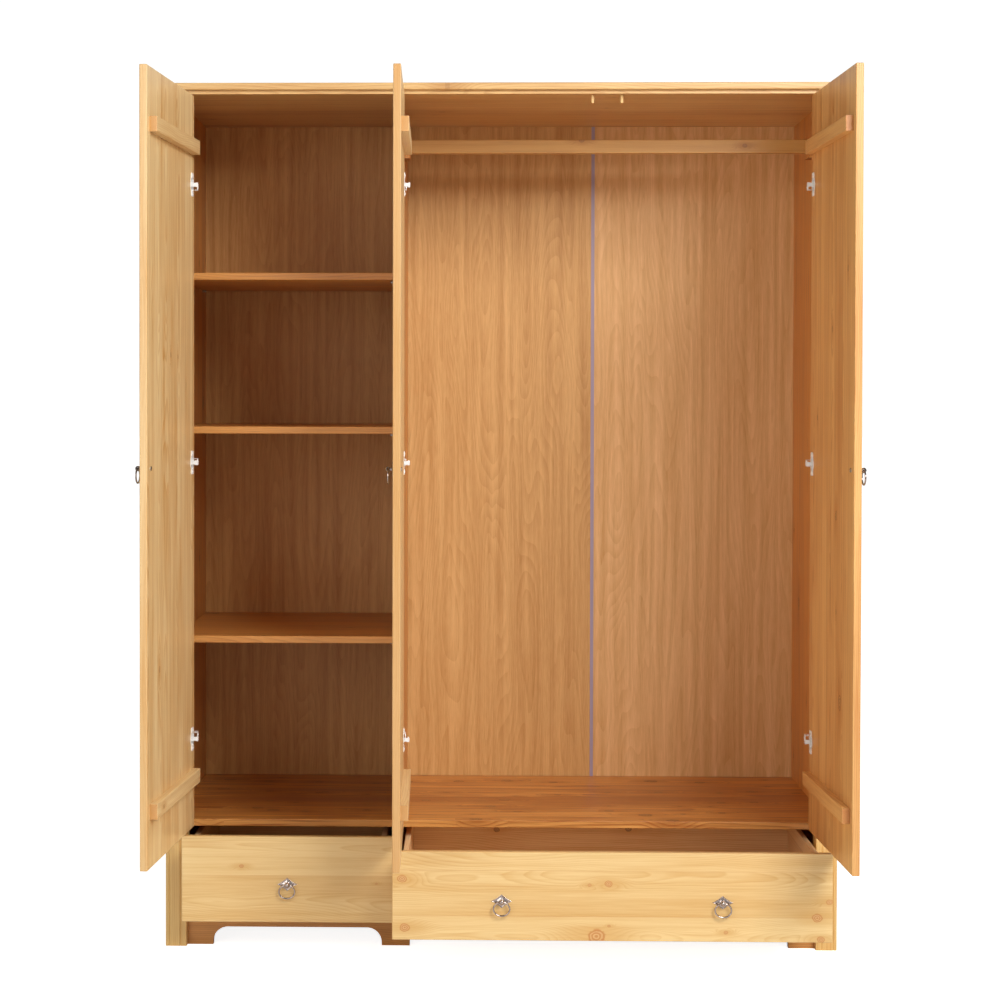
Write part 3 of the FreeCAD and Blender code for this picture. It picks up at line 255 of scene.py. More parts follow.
    # A warm halo round each knot, then the knot with its dark bark ring.
    halo = maths(tree, "MULTIPLY", flow, 0.55)
    # End grain reads darker and warmer, as it soaks up more lacquer; the same input darkens board edges, which is
    # painted shade.
    thirsty_end_and_shaded_edge = maths(tree, "MULTIPLY", g["End grain and edge shade"], 0.75)
    deeper = maths(tree, "MAXIMUM", halo, thirsty_end_and_shaded_edge)
    warmed = blend(tree, deeper, wood, g["Late wood"])
    end_stain_and_edge_shade = maths(tree, "MULTIPLY", g["End grain and edge shade"], 0.3)
    end_stained_and_edge_shaded = blend(tree, end_stain_and_edge_shade, warmed, g["Knot"])
    knot_rings = maths(tree, "MULTIPLY", any_share, 14.0)
    knot_wave = maths(tree, "SINE", knot_rings)
    knot_tone = spread(tree, knot_wave, (-1.0, 1.0), (0.4, 0.9))
    knot_wood = blend(tree, knot_tone, g["Early wood"], g["Knot"])
    inside_knot = spread(tree, any_share, (0.92, 1.12), (1.0, 0.0), interpolation_type="SMOOTHSTEP")
    knotted = blend(tree, inside_knot, end_stained_and_edge_shaded, knot_wood)
    rim_far = maths(tree, "SUBTRACT", any_share, 1.0)
    rim_size = maths(tree, "ABSOLUTE", rim_far)
    rim_knot = spread(tree, rim_size, (0.0, 0.28), (0.55, 0.0), interpolation_type="SMOOTHSTEP")
    rimmed = blend(tree, rim_knot, knotted, g["Knot"])

    # The glue line between staves is a hair darker.
    from_glue = maths(tree, "ABSOLUTE", centred)
    to_glue = maths(tree, "SUBTRACT", 0.5, from_glue)
    glue_mm = maths(tree, "MULTIPLY", to_glue, g["Stave width"])
    glue = spread(tree, glue_mm, (0.0, 1.1), (0.34, 0.0))
    glued = blend(tree, glue, rimmed, g["Knot"])

    height_a = maths(tree, "MULTIPLY_ADD", fibres.outputs[0], 0.6, late.outputs[0])
    height = maths(tree, "MULTIPLY_ADD", inside_knot, 0.7, height_a)
    tree.links.new(glued, out.inputs["Color"])
    tree.links.new(height.outputs[0], out.inputs["Height"])
    tree.links.new(figure.outputs[0], out.inputs["Late"])
    return tree


def knot_spot():
    """One knot at a chosen place on a board: how strongly the grain flows round it, and how far
    a point is from its middle, as a share of its ragged radius."""
    tree, given, out = group_tree(
        "placed knot", "ShaderNodeTree",
        [
            ("Board", "NodeSocketVector", None),
            ("Middle", "NodeSocketVector", None),
            ("Radius", "NodeSocketFloat", 8.0),
        ],
        [("Flow", "NodeSocketFloat"), ("Share", "NodeSocketFloat")],
    )
    g = given.outputs
    away = vectors(tree, "SUBTRACT", g["Board"], g["Middle"])
    flat = vectors(tree, "MULTIPLY", away, (0.8, 1.0, 0.0))
    far = vectors(tree, "LENGTH", flat).outputs["Value"]
    ragged = noise(tree, g["Board"], 0.09, 2.0)
    ragged_share = spread(tree, ragged.outputs[0], (0.3, 0.7), (0.88, 1.12))
    edge = maths(tree, "MULTIPLY", ragged_share, g["Radius"])
    share = maths(tree, "DIVIDE", far, edge)
    stretched = vectors(tree, "MULTIPLY", away, (0.3, 1.0, 0.0))
    reach = vectors(tree, "LENGTH", stretched).outputs["Value"]
    reach_share = maths(tree, "DIVIDE", reach, g["Radius"])
    flow = spread(tree, reach_share, (0.2, 3.4), (1.0, 0.0), interpolation_type="SMOOTHERSTEP")
    tree.links.new(flow.outputs[0], out.inputs["Flow"])
    tree.links.new(share.outputs[0], out.inputs["Share"])
    return tree


PINE = pine_figure()
SPOT = knot_spot()

# Early wood, late wood and knots of the varnished boards, from the pale fronts to the deeper,
# more orange tone inside, which is partly painted shade and bounce light. The pale door tone is a
# painted lit copy of the pine, and the right door's darker tone a painted shaded copy.
TONES = {
    "front": ("#E2C287", "#C8964E", "#BA7430"),
    # Paler than the fronts: painted light, a lit copy of the same pine for the doors.
    "door": ("#F2D6A0", "#CF9850", "#A05E28"),
    # Darker and more orange: painted shade and bounce light, a shaded copy of the door pine.
    "shaded_door": ("#F0BE76", "#BE7634", "#84440F"),
    # Darker and more orange than the fronts: partly painted shade and bounce light inside the carcass.
    "shaded_inside": ("#DC9C50", "#A45F24", "#64300F"),
    "top": ("#DDB476", "#AE7334", "#74401A"),
    "post": ("#E4BF7A", "#C68E46", "#7A4218"),
    "rail": ("#CB9850", "#A46A28", "#7A4218"),
    "plinth": ("#CB8F48", "#9E5F22", "#5E2C0E"),
    "box": ("#FFDCA8", "#E2AF70", "#7A4420"),
}


def turned_to_board(tree, along, across, middle):
    """Object coordinates as board coordinates in millimetres, measured from the board's middle."""
    through = along.cross(across)
    turn = Matrix((along, across, through))
    shift = -(turn @ middle) / MM
    where = add(tree, "ShaderNodeTexCoord").outputs["Object"]
    return add(
        tree, "ShaderNodeMapping",
        {
            "Vector": where, "Location": shift, "Rotation": turn.to_euler("XYZ"),
            "Scale": (1 / MM, 1 / MM, 1 / MM),
        },
    )


def pine(
    name, along, across, middle, tone, seed, stave=92.0, rings=4.2, knots=0.35, spacing=190.0, contrast=1.0,
    edge=0.0, placed=(),
):
    """Varnished pine: dense resinous softwood under a thin satin lacquer, which gives a soft
    sheen over orange late-wood lines and brown knots."""
    material, tree = blank_material(name)
    board = turned_to_board(tree, along, across, middle)
    early, late, knot = (linear(colour) for colour in TONES[tone])
    figure = add(tree, "ShaderNodeGroup", node_tree=PINE)
    for label, value in (
        ("Seed", seed), ("Stave width", stave), ("Ring spacing", rings), ("Knot share", knots),
        ("Knot spacing", spacing), ("Contrast", contrast),
        ("Early wood", early), ("Late wood", late), ("Knot", knot),
    ):
        figure.inputs[label].default_value = value
    tree.links.new(board.outputs[0], figure.inputs["Board"])
    # End faces take the end grain's darkening; edge faces take it by the edge share, as painted shade.
    facing = add(tree, "ShaderNodeTexCoord").outputs["Normal"]
    along_face = vectors(tree, "DOT_PRODUCT", facing, along).outputs["Value"]
    end_face = maths(tree, "ABSOLUTE", along_face)
    end = spread(tree, end_face, (0.5, 0.9), (0.0, 1.0))
    over_edge = vectors(tree, "DOT_PRODUCT", facing, across).outputs["Value"]
    edge_face = maths(tree, "ABSOLUTE", over_edge)
    edge_shade_part = maths(tree, "MULTIPLY", edge_face, edge)
    end_grain_and_edge_shade = maths(tree, "MAXIMUM", end, edge_shade_part)
    tree.links.new(end_grain_and_edge_shade.outputs[0], figure.inputs["End grain and edge shade"])
    flow = share = None
    for x, y, radius in placed:
        spot = add(tree, "ShaderNodeGroup", node_tree=SPOT)
        tree.links.new(board.outputs[0], spot.inputs["Board"])
        spot.inputs["Middle"].default_value = (x, y, 0.0)
        spot.inputs["Radius"].default_value = radius
        if flow:
            flow = maths(tree, "MAXIMUM", flow, spot.outputs["Flow"]).outputs[0]
            share = maths(tree, "MINIMUM", share, spot.outputs["Share"]).outputs[0]
        else:
            flow, share = spot.outputs["Flow"], spot.outputs["Share"]
    if flow:
        tree.links.new(flow, figure.inputs["Placed flow"])
        tree.links.new(share, figure.inputs["Placed share"])
    rough = spread(tree, figure.outputs["Late"], (0.0, 1.0), (0.46, 0.36))
    raised = {"Height": figure.outputs["Height"], "Strength": 0.12, "Distance": 0.0006}
    bump = add(tree, "ShaderNodeBump", raised)
    surface = add(tree, "ShaderNodeBsdfPrincipled", {
        "Base Color": figure.outputs["Color"], "Roughness": rough, "Normal": bump,
        "IOR": 1.5, "Coat Weight": 0.18, "Coat Roughness": 0.28,
    })
    add(tree, "ShaderNodeOutputMaterial", {"Surface": surface})
    return material


def dress(node, material):
    """Gives a CAD node its finish."""
    mesh = NODES[node].data
    mesh.materials.clear()
    mesh.materials.append(material)


def middle_of(node):
    low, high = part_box(node)
    return (Vector(low) + Vector(high)) / 2


def door_turn(door):
    """The door's direction from its hinge to its free edge, and its way through, at rest."""
    joint = JOINTS[f"door_{door}_hinge"]
    hand = -joint["axis"][2]
    turn = Matrix.Rotation(math.radians(hand * joint["range_deg"][0]), 4, "Z")
    return turn.to_3x3() @ (RIGHT * hand)


# The boards' largest knots: millimetres along and across from the board's middle, and radius.
KNOTS = {
    "right_drawer_front": (
        (-7, 28, 6), (-48, 25, 3), (-6, -62, 2.6), (-33, -84, 13), (241, -74, 3.4),
        (-446, 36, 7), (-440, -68, 8), (434, -42, 8), (442, -88, 6), (460, -8, 5),
    ),
    "left_drawer_front": ((-101, 29, 3.6), (196, -8, 2.0)),
    "clothes_rail": ((-63, 15, 5), (320, 2, 4)),
    "right_drawer_back": ((-244, 46, 5), (66, 50, 6)),
    "door_left": ((235, 10, 4), (232, -62, 3.5), (-420, 120, 5)),
    "door_middle": ((560, 180, 6), (-150, -90, 5)),
    "door_right": ((103, -150, 4), (410, 165, 5), (-300, 60, 4)),
    "floor_board": (
        (-20, -120, 9), (330, -215, 12), (520, -60, 7), (140, 30, 6), (-520, -180, 10), (-430, 40, 6),
    ),
}


# Grain runs up the doors, posts and sides, and across the shelves, fronts and rails.
def finish_wood():
    seeds = iter(range(1, 200))

    def board(node, along, across, tone, **figure):
        seed = next(seeds) * 0.37
        dress(node, pine(f"pine {node}", along, across, middle_of(node), tone, seed, **figure))

    for door in ("left", "middle", "right"):
        outward = door_turn(door)
        # The right door takes the shaded copy of the door pine, the others the lit copy: painted shade and painted
        # light.
        tone = "shaded_door" if door == "right" else "door"
        board(
            f"door_{door}", UP, outward, tone, stave=78.0, rings=3.0, knots=0.12, contrast=1.25,
            # Darker door edges, most on the middle door: partly edge grain, partly painted shade.
            edge=0.9 if door == "middle" else 0.35, placed=KNOTS[f"door_{door}"],
        )
        board(f"door_{door}_ledges", outward, UP, tone, stave=200.0, rings=3.0, knots=0.08)
    for side in ("left", "right"):
        board(f"front_post_{side}", UP, RIGHT, "post", stave=120.0, knots=0.15)
        # The inside boards take the darker, more orange pine, partly painted shade and bounce light.
        board(f"side_panel_{side}", UP, BACK, "shaded_inside", stave=84.0)
    board("divider_panel", UP, BACK, "shaded_inside", stave=84.0)
    board("drawer_divider", BACK, UP, "shaded_inside")
    board("top_board", RIGHT, BACK, "top", stave=88.0, rings=3.2, knots=0.2)
    board(
        "floor_board", RIGHT, BACK, "shaded_inside", stave=88.0, rings=9.0, knots=0.8, spacing=120.0, contrast=2.2,
        placed=KNOTS["floor_board"],
    )
    for level in ("low", "middle", "high"):
        board(f"shelf_{level}", RIGHT, BACK, "shaded_inside", stave=88.0)
    board("plinth_front", RIGHT, UP, "plinth", stave=300.0, rings=3.0, knots=0.1)
    board("plinth_rear", RIGHT, UP, "plinth", stave=300.0)
    board(
        "clothes_rail", RIGHT, UP, "rail", stave=300.0, rings=2.6, knots=0.0, placed=KNOTS["clothes_rail"],
    )
    board("rail_cleats", UP, BACK, "shaded_inside", stave=300.0, knots=0.0)
    board("drawer_runners", BACK, UP, "box", stave=300.0, knots=0.0)
    board("door_stop_pegs", UP, RIGHT, "front", stave=300.0, knots=0.0)
    for drawer in ("left", "right"):
        front = f"{drawer}_drawer_front"
        board(front, RIGHT, UP, "front", stave=97.0, rings=1.9, knots=0.0, placed=KNOTS[front])
        board(f"{drawer}_drawer_side_left", BACK, UP, "box", stave=300.0)
        board(f"{drawer}_drawer_side_right", BACK, UP, "box", stave=300.0)
        back = f"{drawer}_drawer_back"
        board(back, RIGHT, UP, "box", stave=300.0, contrast=1.3, placed=KNOTS.get(back, ()))
        board(f"{drawer}_drawer_bottom", RIGHT, BACK, "box", stave=600.0, knots=0.0)


# ---- the back, metal and plastic -----------------------------------------------------------

def printed_hardboard(name, seed, pale, dark):
    """Hardboard with a printed oak-like grain under satin lacquer: fine upright pores and
    long arched figure, with no depth."""
    material, tree = blank_material(name)
    where = add(tree, "ShaderNodeTexCoord").outputs["Object"]
    start, in_mm = (seed * 310.0, 0, seed * 170.0), (1 / MM, 1 / MM, 1 / MM)
    sheet = add(tree, "ShaderNodeMapping", {"Vector": where, "Location": start, "Scale": in_mm})
    arch_place = vectors(tree, "MULTIPLY", sheet, (0.011, 0.0, 0.0011))
    arch = noise(tree, arch_place, 1.0, 1.5, Distortion=0.3)
    arch_rings = maths(tree, "MULTIPLY", arch.outputs[0], 26.0)
    arch_year = maths(tree, "FRACT", arch_rings)
    arch_line = spread(tree, arch_year, (0.2, 1.0), (0.0, 1.0))
    pore_place = vectors(tree, "MULTIPLY", sheet, (0.7, 0.0, 0.028))
    pores = noise(tree, pore_place, 1.0, 3.0, Roughness=0.6)
    streak_place = vectors(tree, "MULTIPLY", sheet, (0.06, 0.0, 0.0016))
    streaks = noise(tree, streak_place, 1.0, 3.0)
    pore_part = spread(tree, pores.outputs[0], (0.3, 0.7), (-0.22, 0.22))
    streak_part = spread(tree, streaks.outputs[0], (0.3, 0.7), (0.15, 0.75))
    arch_part = maths(tree, "MULTIPLY", arch_line, 0.22)
    two = maths(tree, "ADD", pore_part, streak_part)
    three = maths(tree, "ADD", two, arch_part, use_clamp=True)
    colour = blend(tree, three, linear(pale), linear(dark))
    surface = add(tree, "ShaderNodeBsdfPrincipled", {"Base Color": colour, "Roughness": 0.5, "IOR": 1.5})
    add(tree, "ShaderNodeOutputMaterial", {"Surface": surface})
    return material


def pvc_strip():
    """Extruded PVC: a smooth pale lavender strip with a soft gloss."""
    material, tree = blank_material("extruded PVC")
    where = add(tree, "ShaderNodeTexCoord").outputs["Object"]
    draw = add(tree, "ShaderNodeMapping", {"Vector": where, "Scale": (900.0, 900.0, 6.0)})
    lines = noise(tree, draw, 1.0, 2.0)
    colour = blend(tree, lines.outputs[0], linear("#AFA2B6"), linear("#978AA2"))
    surface = add(tree, "ShaderNodeBsdfPrincipled", {"Base Color": colour, "Roughness": 0.35, "IOR": 1.53})
    add(tree, "ShaderNodeOutputMaterial", {"Surface": surface})
    return material


def plated_steel(name, pale, dull_and_painted_reflection, rough_low, rough_high):
    """Plated pressed steel: a warm grey mirror broken up by fine polishing marks, its colour mottled between a
    pale and a dull tone.
    """
    material, tree = blank_material(name)
    where = add(tree, "ShaderNodeTexCoord").outputs["Object"]
    spots = noise(tree, where, 260.0, 3.0)
    marks_place = add(tree, "ShaderNodeMapping", {"Vector": where, "Scale": (300.0, 300.0, 2400.0)})
    marks = noise(tree, marks_place, 1.0, 3.0)
    colour = blend(tree, spots.outputs[0], linear(pale), linear(dull_and_painted_reflection))
    rough = spread(tree, marks.outputs[0], (0.3, 0.7), (rough_low, rough_high))
    bump = add(tree, "ShaderNodeBump", {"Height": marks.outputs[0], "Strength": 0.08, "Distance": 0.0001})
    surface = add(tree, "ShaderNodeBsdfPrincipled", {
        "Base Color": colour, "Metallic": 1.0, "Roughness": rough, "Normal": bump,
    })
    add(tree, "ShaderNodeOutputMaterial", {"Surface": surface})
    return material


def hinge_white_glare():
    """Hinge steel in near white, a painted highlight standing in for glare on the plated steel: a bright smooth
    skin with a soft gloss and a faint orange peel.
    """
    material, tree = blank_material("white enamelled steel")
    where = add(tree, "ShaderNodeTexCoord").outputs["Object"]
    peel = noise(tree, where, 900.0, 2.0)
    colour = blend(tree, peel.outputs[0], linear("#FCFCFA"), linear("#F1F1EF"))
    bump = add(tree, "ShaderNodeBump", {"Height": peel.outputs[0], "Strength": 0.1, "Distance": 0.0001})
    surface = add(tree, "ShaderNodeBsdfPrincipled", {
        "Base Color": colour, "Roughness": 0.28, "Normal": bump, "IOR": 1.5,
    })
    add(tree, "ShaderNodeOutputMaterial", {"Surface": surface})
    return material


# The nickel's dull tone is darker than plated nickel: painted reflection, standing in for the dark room the
# polished plates would mirror.
NICKEL = plated_steel("polished nickel", "#CDBFB8", "#8B7D76", 0.08, 0.16)
HINGE_STEEL = hinge_white_glare()
SCREW_STEEL = plated_steel("zinc plated screw", "#C9C7C2", "#A9A7A2", 0.24, 0.36)

finish_wood()
# The right back panel is paler than the others: painted light, a lit copy of the same hardboard where the right
# door would shade it.
for count, (panel, pale, dark) in enumerate((
    ("left", "#E2B06C", "#BB8340"), ("middle", "#E2B474", "#BB8746"), ("right", "#F2C68C", "#CE9A58"),
)):
    dress(f"back_panel_{panel}", printed_hardboard(f"printed hardboard {panel}", count + 1, pale, dark))
dress("back_joint_strips", pvc_strip())
for node in NODES:
    if node.endswith("_ring") or node.endswith("_pull") or node.endswith("_pulls"):
        dress(node, NICKEL)
    elif "hinge" in node:
        dress(node, HINGE_STEEL)
    elif node.endswith("screw") or node.endswith("screws") or node == "shelf_pins":
        dress(node, SCREW_STEEL)


# ---- fittings made here --------------------------------------------------------------------

CHANNEL = 11.0               # hinge arm's channel, from its floor to its end, in millimetres
POST_FLOOR, DIVIDER_FLOOR = 10.2, 2.2   # the channel's floor from the wood
CUP_SETBACK = 24.5 * MM      # hinge cup's middle from the hinge axis
DOOR_INNER = 17 * MM         # door's inner face from the hinge axis
BALL_REACH = 10 * MM         # a pull's ball, from the wood to its middle
RING_HALF = (17.2 * MM, 14.7 * MM)   # half the ring, across and up, to the wire's middle


def solids_of(node):
    """The lowest and highest corner of each separate solid in a CAD node."""
    work = bmesh.new()
    work.from_mesh(NODES[node].data)
    bmesh.ops.remove_doubles(work, verts=work.verts, dist=1e-6)
    seen, boxes = set(), []
    for start in work.verts:
        if start in seen:
            continue
        seen.add(start)
        reached, solid = [start], []
        while reached:
            vert = reached.pop()
            solid.append(vert.co.copy())
            for edge in vert.link_edges:
                other = edge.other_vert(vert)
                if other not in seen:
                    seen.add(other)
                    reached.append(other)
        boxes.append((Vector(map(min, zip(*solid))), Vector(map(max, zip(*solid)))))
    work.free()
    return boxes


def merge_in(work, part, place=Matrix()):
    """Adds a part's mesh to a piece's, at a place, with its faces turned outwards."""
    bmesh.ops.recalc_face_normals(part, faces=part.faces)
    part.transform(place)
    if place.is_negative:
        bmesh.ops.reverse_faces(part, faces=part.faces)
    mesh = bpy.data.meshes.new("part")
    part.to_mesh(mesh)
    part.free()
    work.from_mesh(mesh)
    bpy.data.meshes.remove(mesh)


def as_mesh(name, work, smooth=True):
    mesh = bpy.data.meshes.new(name)
    work.to_mesh(mesh)
    work.free()
    if smooth:
        mesh.shade_smooth()
        mesh.set_sharp_from_angle(angle=math.radians(35))
    return mesh


def turned(profile, steps=40):
    """A closed solid turned round Z, from (radius, height) points in millimetres that start
    and end on the axis."""
    part = bmesh.new()
    rings = []
    for radius, height in profile:
        ring = []
        for i in range(steps if radius else 1):
            angle = math.tau * i / steps
            x, y = radius * MM * math.cos(angle), radius * MM * math.sin(angle)
            ring.append(part.verts.new((x, y, height * MM)))
        rings.append(ring)
    for low, high in zip(rings, rings[1:]):
        for i in range(steps):
            j = (i + 1) % steps
            corners = [low[i % len(low)], low[j % len(low)], high[j % len(high)], high[i % len(high)]]
            part.faces.new(list(dict.fromkeys(corners)))
    return part


def eased_block(low, high, ease=0.8):
    """A block between two corners in millimetres, with rounded edges."""
    part = bmesh.new()
    bmesh.ops.create_cube(part, size=1.0)
    low, high = Vector(low) * MM, Vector(high) * MM
    for vert in part.verts:
        vert.co = Vector([(a + b) / 2 + c * (b - a) for a, b, c in zip(low, high, vert.co)])
    bmesh.ops.bevel(part, geom=part.edges[:], offset=ease * MM, segments=3, affect="EDGES", profile=0.5)
    return part


def pressed(outline, thick, ease=0.4):
    """A pressed plate: an outline in millimetres in XY, thick along Z, its upper edge rounded."""
    part = bmesh.new()
    face = part.faces.new([part.verts.new((x * MM, y * MM, 0)) for x, y in outline])
    made = bmesh.ops.extrude_face_region(part, geom=[face])["geom"]
    lifted = [item for item in made if isinstance(item, bmesh.types.BMVert)]
    bmesh.ops.translate(part, verts=lifted, vec=(0, 0, thick * MM))
    edges = [edge for edge in part.edges if all(vert in lifted for vert in edge.verts)]
    bmesh.ops.bevel(part, geom=edges, offset=ease * MM, segments=3, affect="EDGES", profile=0.5)
    return part


def carved(mesh, cutter):
    """A mesh with another mesh's shape taken out of it."""
    solid = bpy.data.objects.new("solid", mesh)
    tool = bpy.data.objects.new("tool", cutter)
    for item in (solid, tool):
        bpy.context.scene.collection.objects.link(item)
    cut = solid.modifiers.new("cut", "BOOLEAN")
    cut.operation, cut.solver, cut.object = "DIFFERENCE", "EXACT", tool
    whole = bpy.context.evaluated_depsgraph_get()
    result = bpy.data.meshes.new_from_object(solid.evaluated_get(whole))
    for item in (solid, tool):
        bpy.data.objects.remove(item)
    return result


def from_mesh(mesh):
    part = bmesh.new()
    part.from_mesh(mesh)
    return part


def cross_head(radius, height):
    """A screw head with a cross recess, its rim at Z = 0 and its crown at the height."""
    crown = [
        (radius * math.cos(a), height * (0.35 + 0.65 * math.sin(a))) for a in (0, 0.35, 0.7, 1.05, 1.35)
    ]
    body = as_mesh("head", turned([(0, 0), (radius, 0), *crown, (0, height)], 32))
    arm, half = radius * 0.56, radius * 0.13
    for long, wide in ((arm, half), (half, arm)):
        cutter = bmesh.new()
        merge_in(cutter, eased_block((-long, -wide, height * 0.35), (long, wide, height * 2), 0.05))
        body = carved(body, as_mesh("slot", cutter, False))
    return body


def row_tree():
    """Repeats a fitting: copies of the given mesh, one step apart, made real."""
    tree, given, out = group_tree(
        "row of fittings", "GeometryNodeTree",
        [
            ("Fitting", "NodeSocketGeometry", None),
            ("Count", "NodeSocketInt", 3),
            ("Step", "NodeSocketVector", None),
            ("Finish", "NodeSocketMaterial", None),
        ],
        [("Geometry", "NodeSocketGeometry")],
    )
    g = given.outputs
    line = add(tree, "GeometryNodeMeshLine", {"Count": g["Count"], "Offset": g["Step"]}, mode="OFFSET")
    copies = add(tree, "GeometryNodeInstanceOnPoints", {"Points": line, "Instance": g["Fitting"]})
    real = add(tree, "GeometryNodeRealizeInstances", {"Geometry": copies})
    finished = add(tree, "GeometryNodeSetMaterial", {"Geometry": real, "Material": g["Finish"]})
    tree.links.new(finished.outputs[0], out.inputs["Geometry"])
    return tree


def dowel_tree():
    """Chamfered round pegs, one at each point of the given mesh."""
    tree, given, out = group_tree(
        "pegs at points", "GeometryNodeTree",
        [
            ("Places", "NodeSocketGeometry", None),
            ("Radius", "NodeSocketFloat", 3 * MM),
            ("Length", "NodeSocketFloat", 18 * MM),
            ("Chamfer", "NodeSocketFloat", 0.8 * MM),
            ("Turn", "NodeSocketVector", None),
            ("Finish", "NodeSocketMaterial", None),
        ],
        [("Geometry", "NodeSocketGeometry")],
    )
    g = given.outputs
    twice = maths(tree, "MULTIPLY", g["Chamfer"], 2.0)
    shank = maths(tree, "SUBTRACT", g["Length"], twice)
    end = maths(tree, "SUBTRACT", g["Radius"], g["Chamfer"])
    half = maths(tree, "MULTIPLY", shank, 0.5)
    below = maths(tree, "ADD", half, g["Chamfer"])
    low = maths(tree, "MULTIPLY", below, -1.0)
    body = add(tree, "GeometryNodeMeshCylinder", {"Vertices": 28, "Radius": g["Radius"], "Depth": shank})
    above = add(tree, "ShaderNodeCombineXYZ", {2: half})
    under = add(tree, "ShaderNodeCombineXYZ", {2: low})
    tip = add(tree, "GeometryNodeMeshCone", {
        "Vertices": 28, "Radius Top": end, "Radius Bottom": g["Radius"], "Depth": g["Chamfer"],
    })
    foot = add(tree, "GeometryNodeMeshCone", {
        "Vertices": 28, "Radius Top": g["Radius"], "Radius Bottom": end, "Depth": g["Chamfer"],
    })
    tip_up = add(tree, "GeometryNodeTransform", {"Geometry": tip.outputs["Mesh"], "Translation": above})
    foot_down = add(tree, "GeometryNodeTransform", {"Geometry": foot.outputs["Mesh"], "Translation": under})
    whole = add(tree, "GeometryNodeJoinGeometry")
    for part in (body.outputs["Mesh"], tip_up.outputs[0], foot_down.outputs[0]):
        tree.links.new(part, whole.inputs[0])
    copies = add(tree, "GeometryNodeInstanceOnPoints", {
        "Points": g["Places"], "Instance": whole, "Rotation": g["Turn"],
    })
    real = add(tree, "GeometryNodeRealizeInstances", {"Geometry": copies})
    finished = add(tree, "GeometryNodeSetMaterial", {"Geometry": real, "Material": g["Finish"]})
    tree.links.new(finished.outputs[0], out.inputs["Geometry"])
    return tree


def grown(name, mesh, tree, inputs, material):
    """Runs a tree on a mesh and keeps the plain mesh that it makes, as an object."""
    seed = bpy.data.objects.new(name, mesh)
    bpy.context.scene.collection.objects.link(seed)
    modifier = seed.modifiers.new("made", "NODES")
    modifier.node_group = tree
    sockets = {item.name: item.identifier for item in tree.interface.items_tree if item.in_out == "INPUT"}
    for label, value in {**inputs, "Finish": material}.items():
        modifier[sockets[label]] = value
    whole = bpy.context.evaluated_depsgraph_get()
    made = bpy.data.meshes.new_from_object(seed.evaluated_get(whole))
    seed.modifiers.clear()
    seed.data = made
    made.name = name
    made.shade_smooth()
    made.set_sharp_from_angle(angle=math.radians(35))
    if not made.materials:
        made.materials.append(material)
    return seed


ROW = row_tree()
DOWELS = dowel_tree()


def pull_template():
    """A pull's back plate with its ball, from the wood outwards along Z and upwards along Y:
    a rhombus with hollowed sides, a beaded rim and an ogee rise to the stem."""
    half_wide, half_tall, hollow = 22.4, 14.8, 0.86
    steps = 96
    section = [
        (1.0, 0.0), (1.0, 0.7), (0.985, 1.15), (0.95, 1.35), (0.9, 1.35), (0.86, 1.1), (0.82, 1.0),
        (0.7, 1.25), (0.58, 1.7), (0.46, 2.35), (0.36, 2.75), (0.3, 2.8),
    ]
    plate = bmesh.new()
    rings = []
    for share, height in section:
        ring = []
        for i in range(steps):
            angle = math.tau * i / steps
            c, s = abs(math.cos(angle)), abs(math.sin(angle))
            rhombus = ((c / half_wide) ** hollow + (s / half_tall) ** hollow) ** (-1 / hollow)
            round_rise = half_tall * 0.8
            flatness = max(0.0, min(1.0, (share - 0.3) / 0.5))
            reach = share * (flatness * rhombus + (1 - flatness) * round_rise)
            ring.append(
                plate.verts.new((reach * math.cos(angle) * MM, reach * math.sin(angle) * MM, height * MM)),
            )
        rings.append(ring)
    for low, high in zip(rings, rings[1:]):
        for i in range(steps):
            j = (i + 1) % steps
            plate.faces.new((low[i], low[j], high[j], high[i]))
    plate.faces.new(rings[0])
    plate.faces.new(rings[-1])
    whole = bmesh.new()
    merge_in(whole, plate)

    round_ball = [math.radians(d) for d in range(36, 180, 9)]
    ball = [(5.6 * math.sin(a), 10 - 5.6 * math.cos(a)) for a in round_ball]
    stem = [(0, 1.2), (4.6, 1.2), (4.6, 3.3), (4.2, 3.8), (3.3, 4.2), (3.0, 5.0)]
    knob = as_mesh("knob", turned([*stem, *ball, (0, 15.6)], 48))
    # The bore flares towards its ends, where the ring's curved wire swings.
    bore = bmesh.new()
    wire, sides = 2.15 * MM, 20
    rings = []
    for station in range(-8, 9):
        angle = math.radians(station * 5)
        middle = Vector((RING_HALF[0] * math.sin(angle), 0, BALL_REACH))
        flare = wire + RING_HALF[1] * (1 - math.cos(angle))
        round_bore = [math.tau * i / sides for i in range(sides)]
        rings.append([
            bore.verts.new(middle + flare * (BACK * math.cos(a) + UP * math.sin(a))) for a in round_bore
        ])
    for low, high in zip(rings, rings[1:]):
        for i in range(sides):
            j = (i + 1) % sides
            bore.faces.new((low[i], low[j], high[j], high[i]))
    bore.faces.new(rings[0])
    bore.faces.new(rings[-1])
    bmesh.ops.recalc_face_normals(bore, faces=bore.faces)
    merge_in(whole, from_mesh(carved(knob, as_mesh("bore", bore, False))))
    return as_mesh("pull", whole)


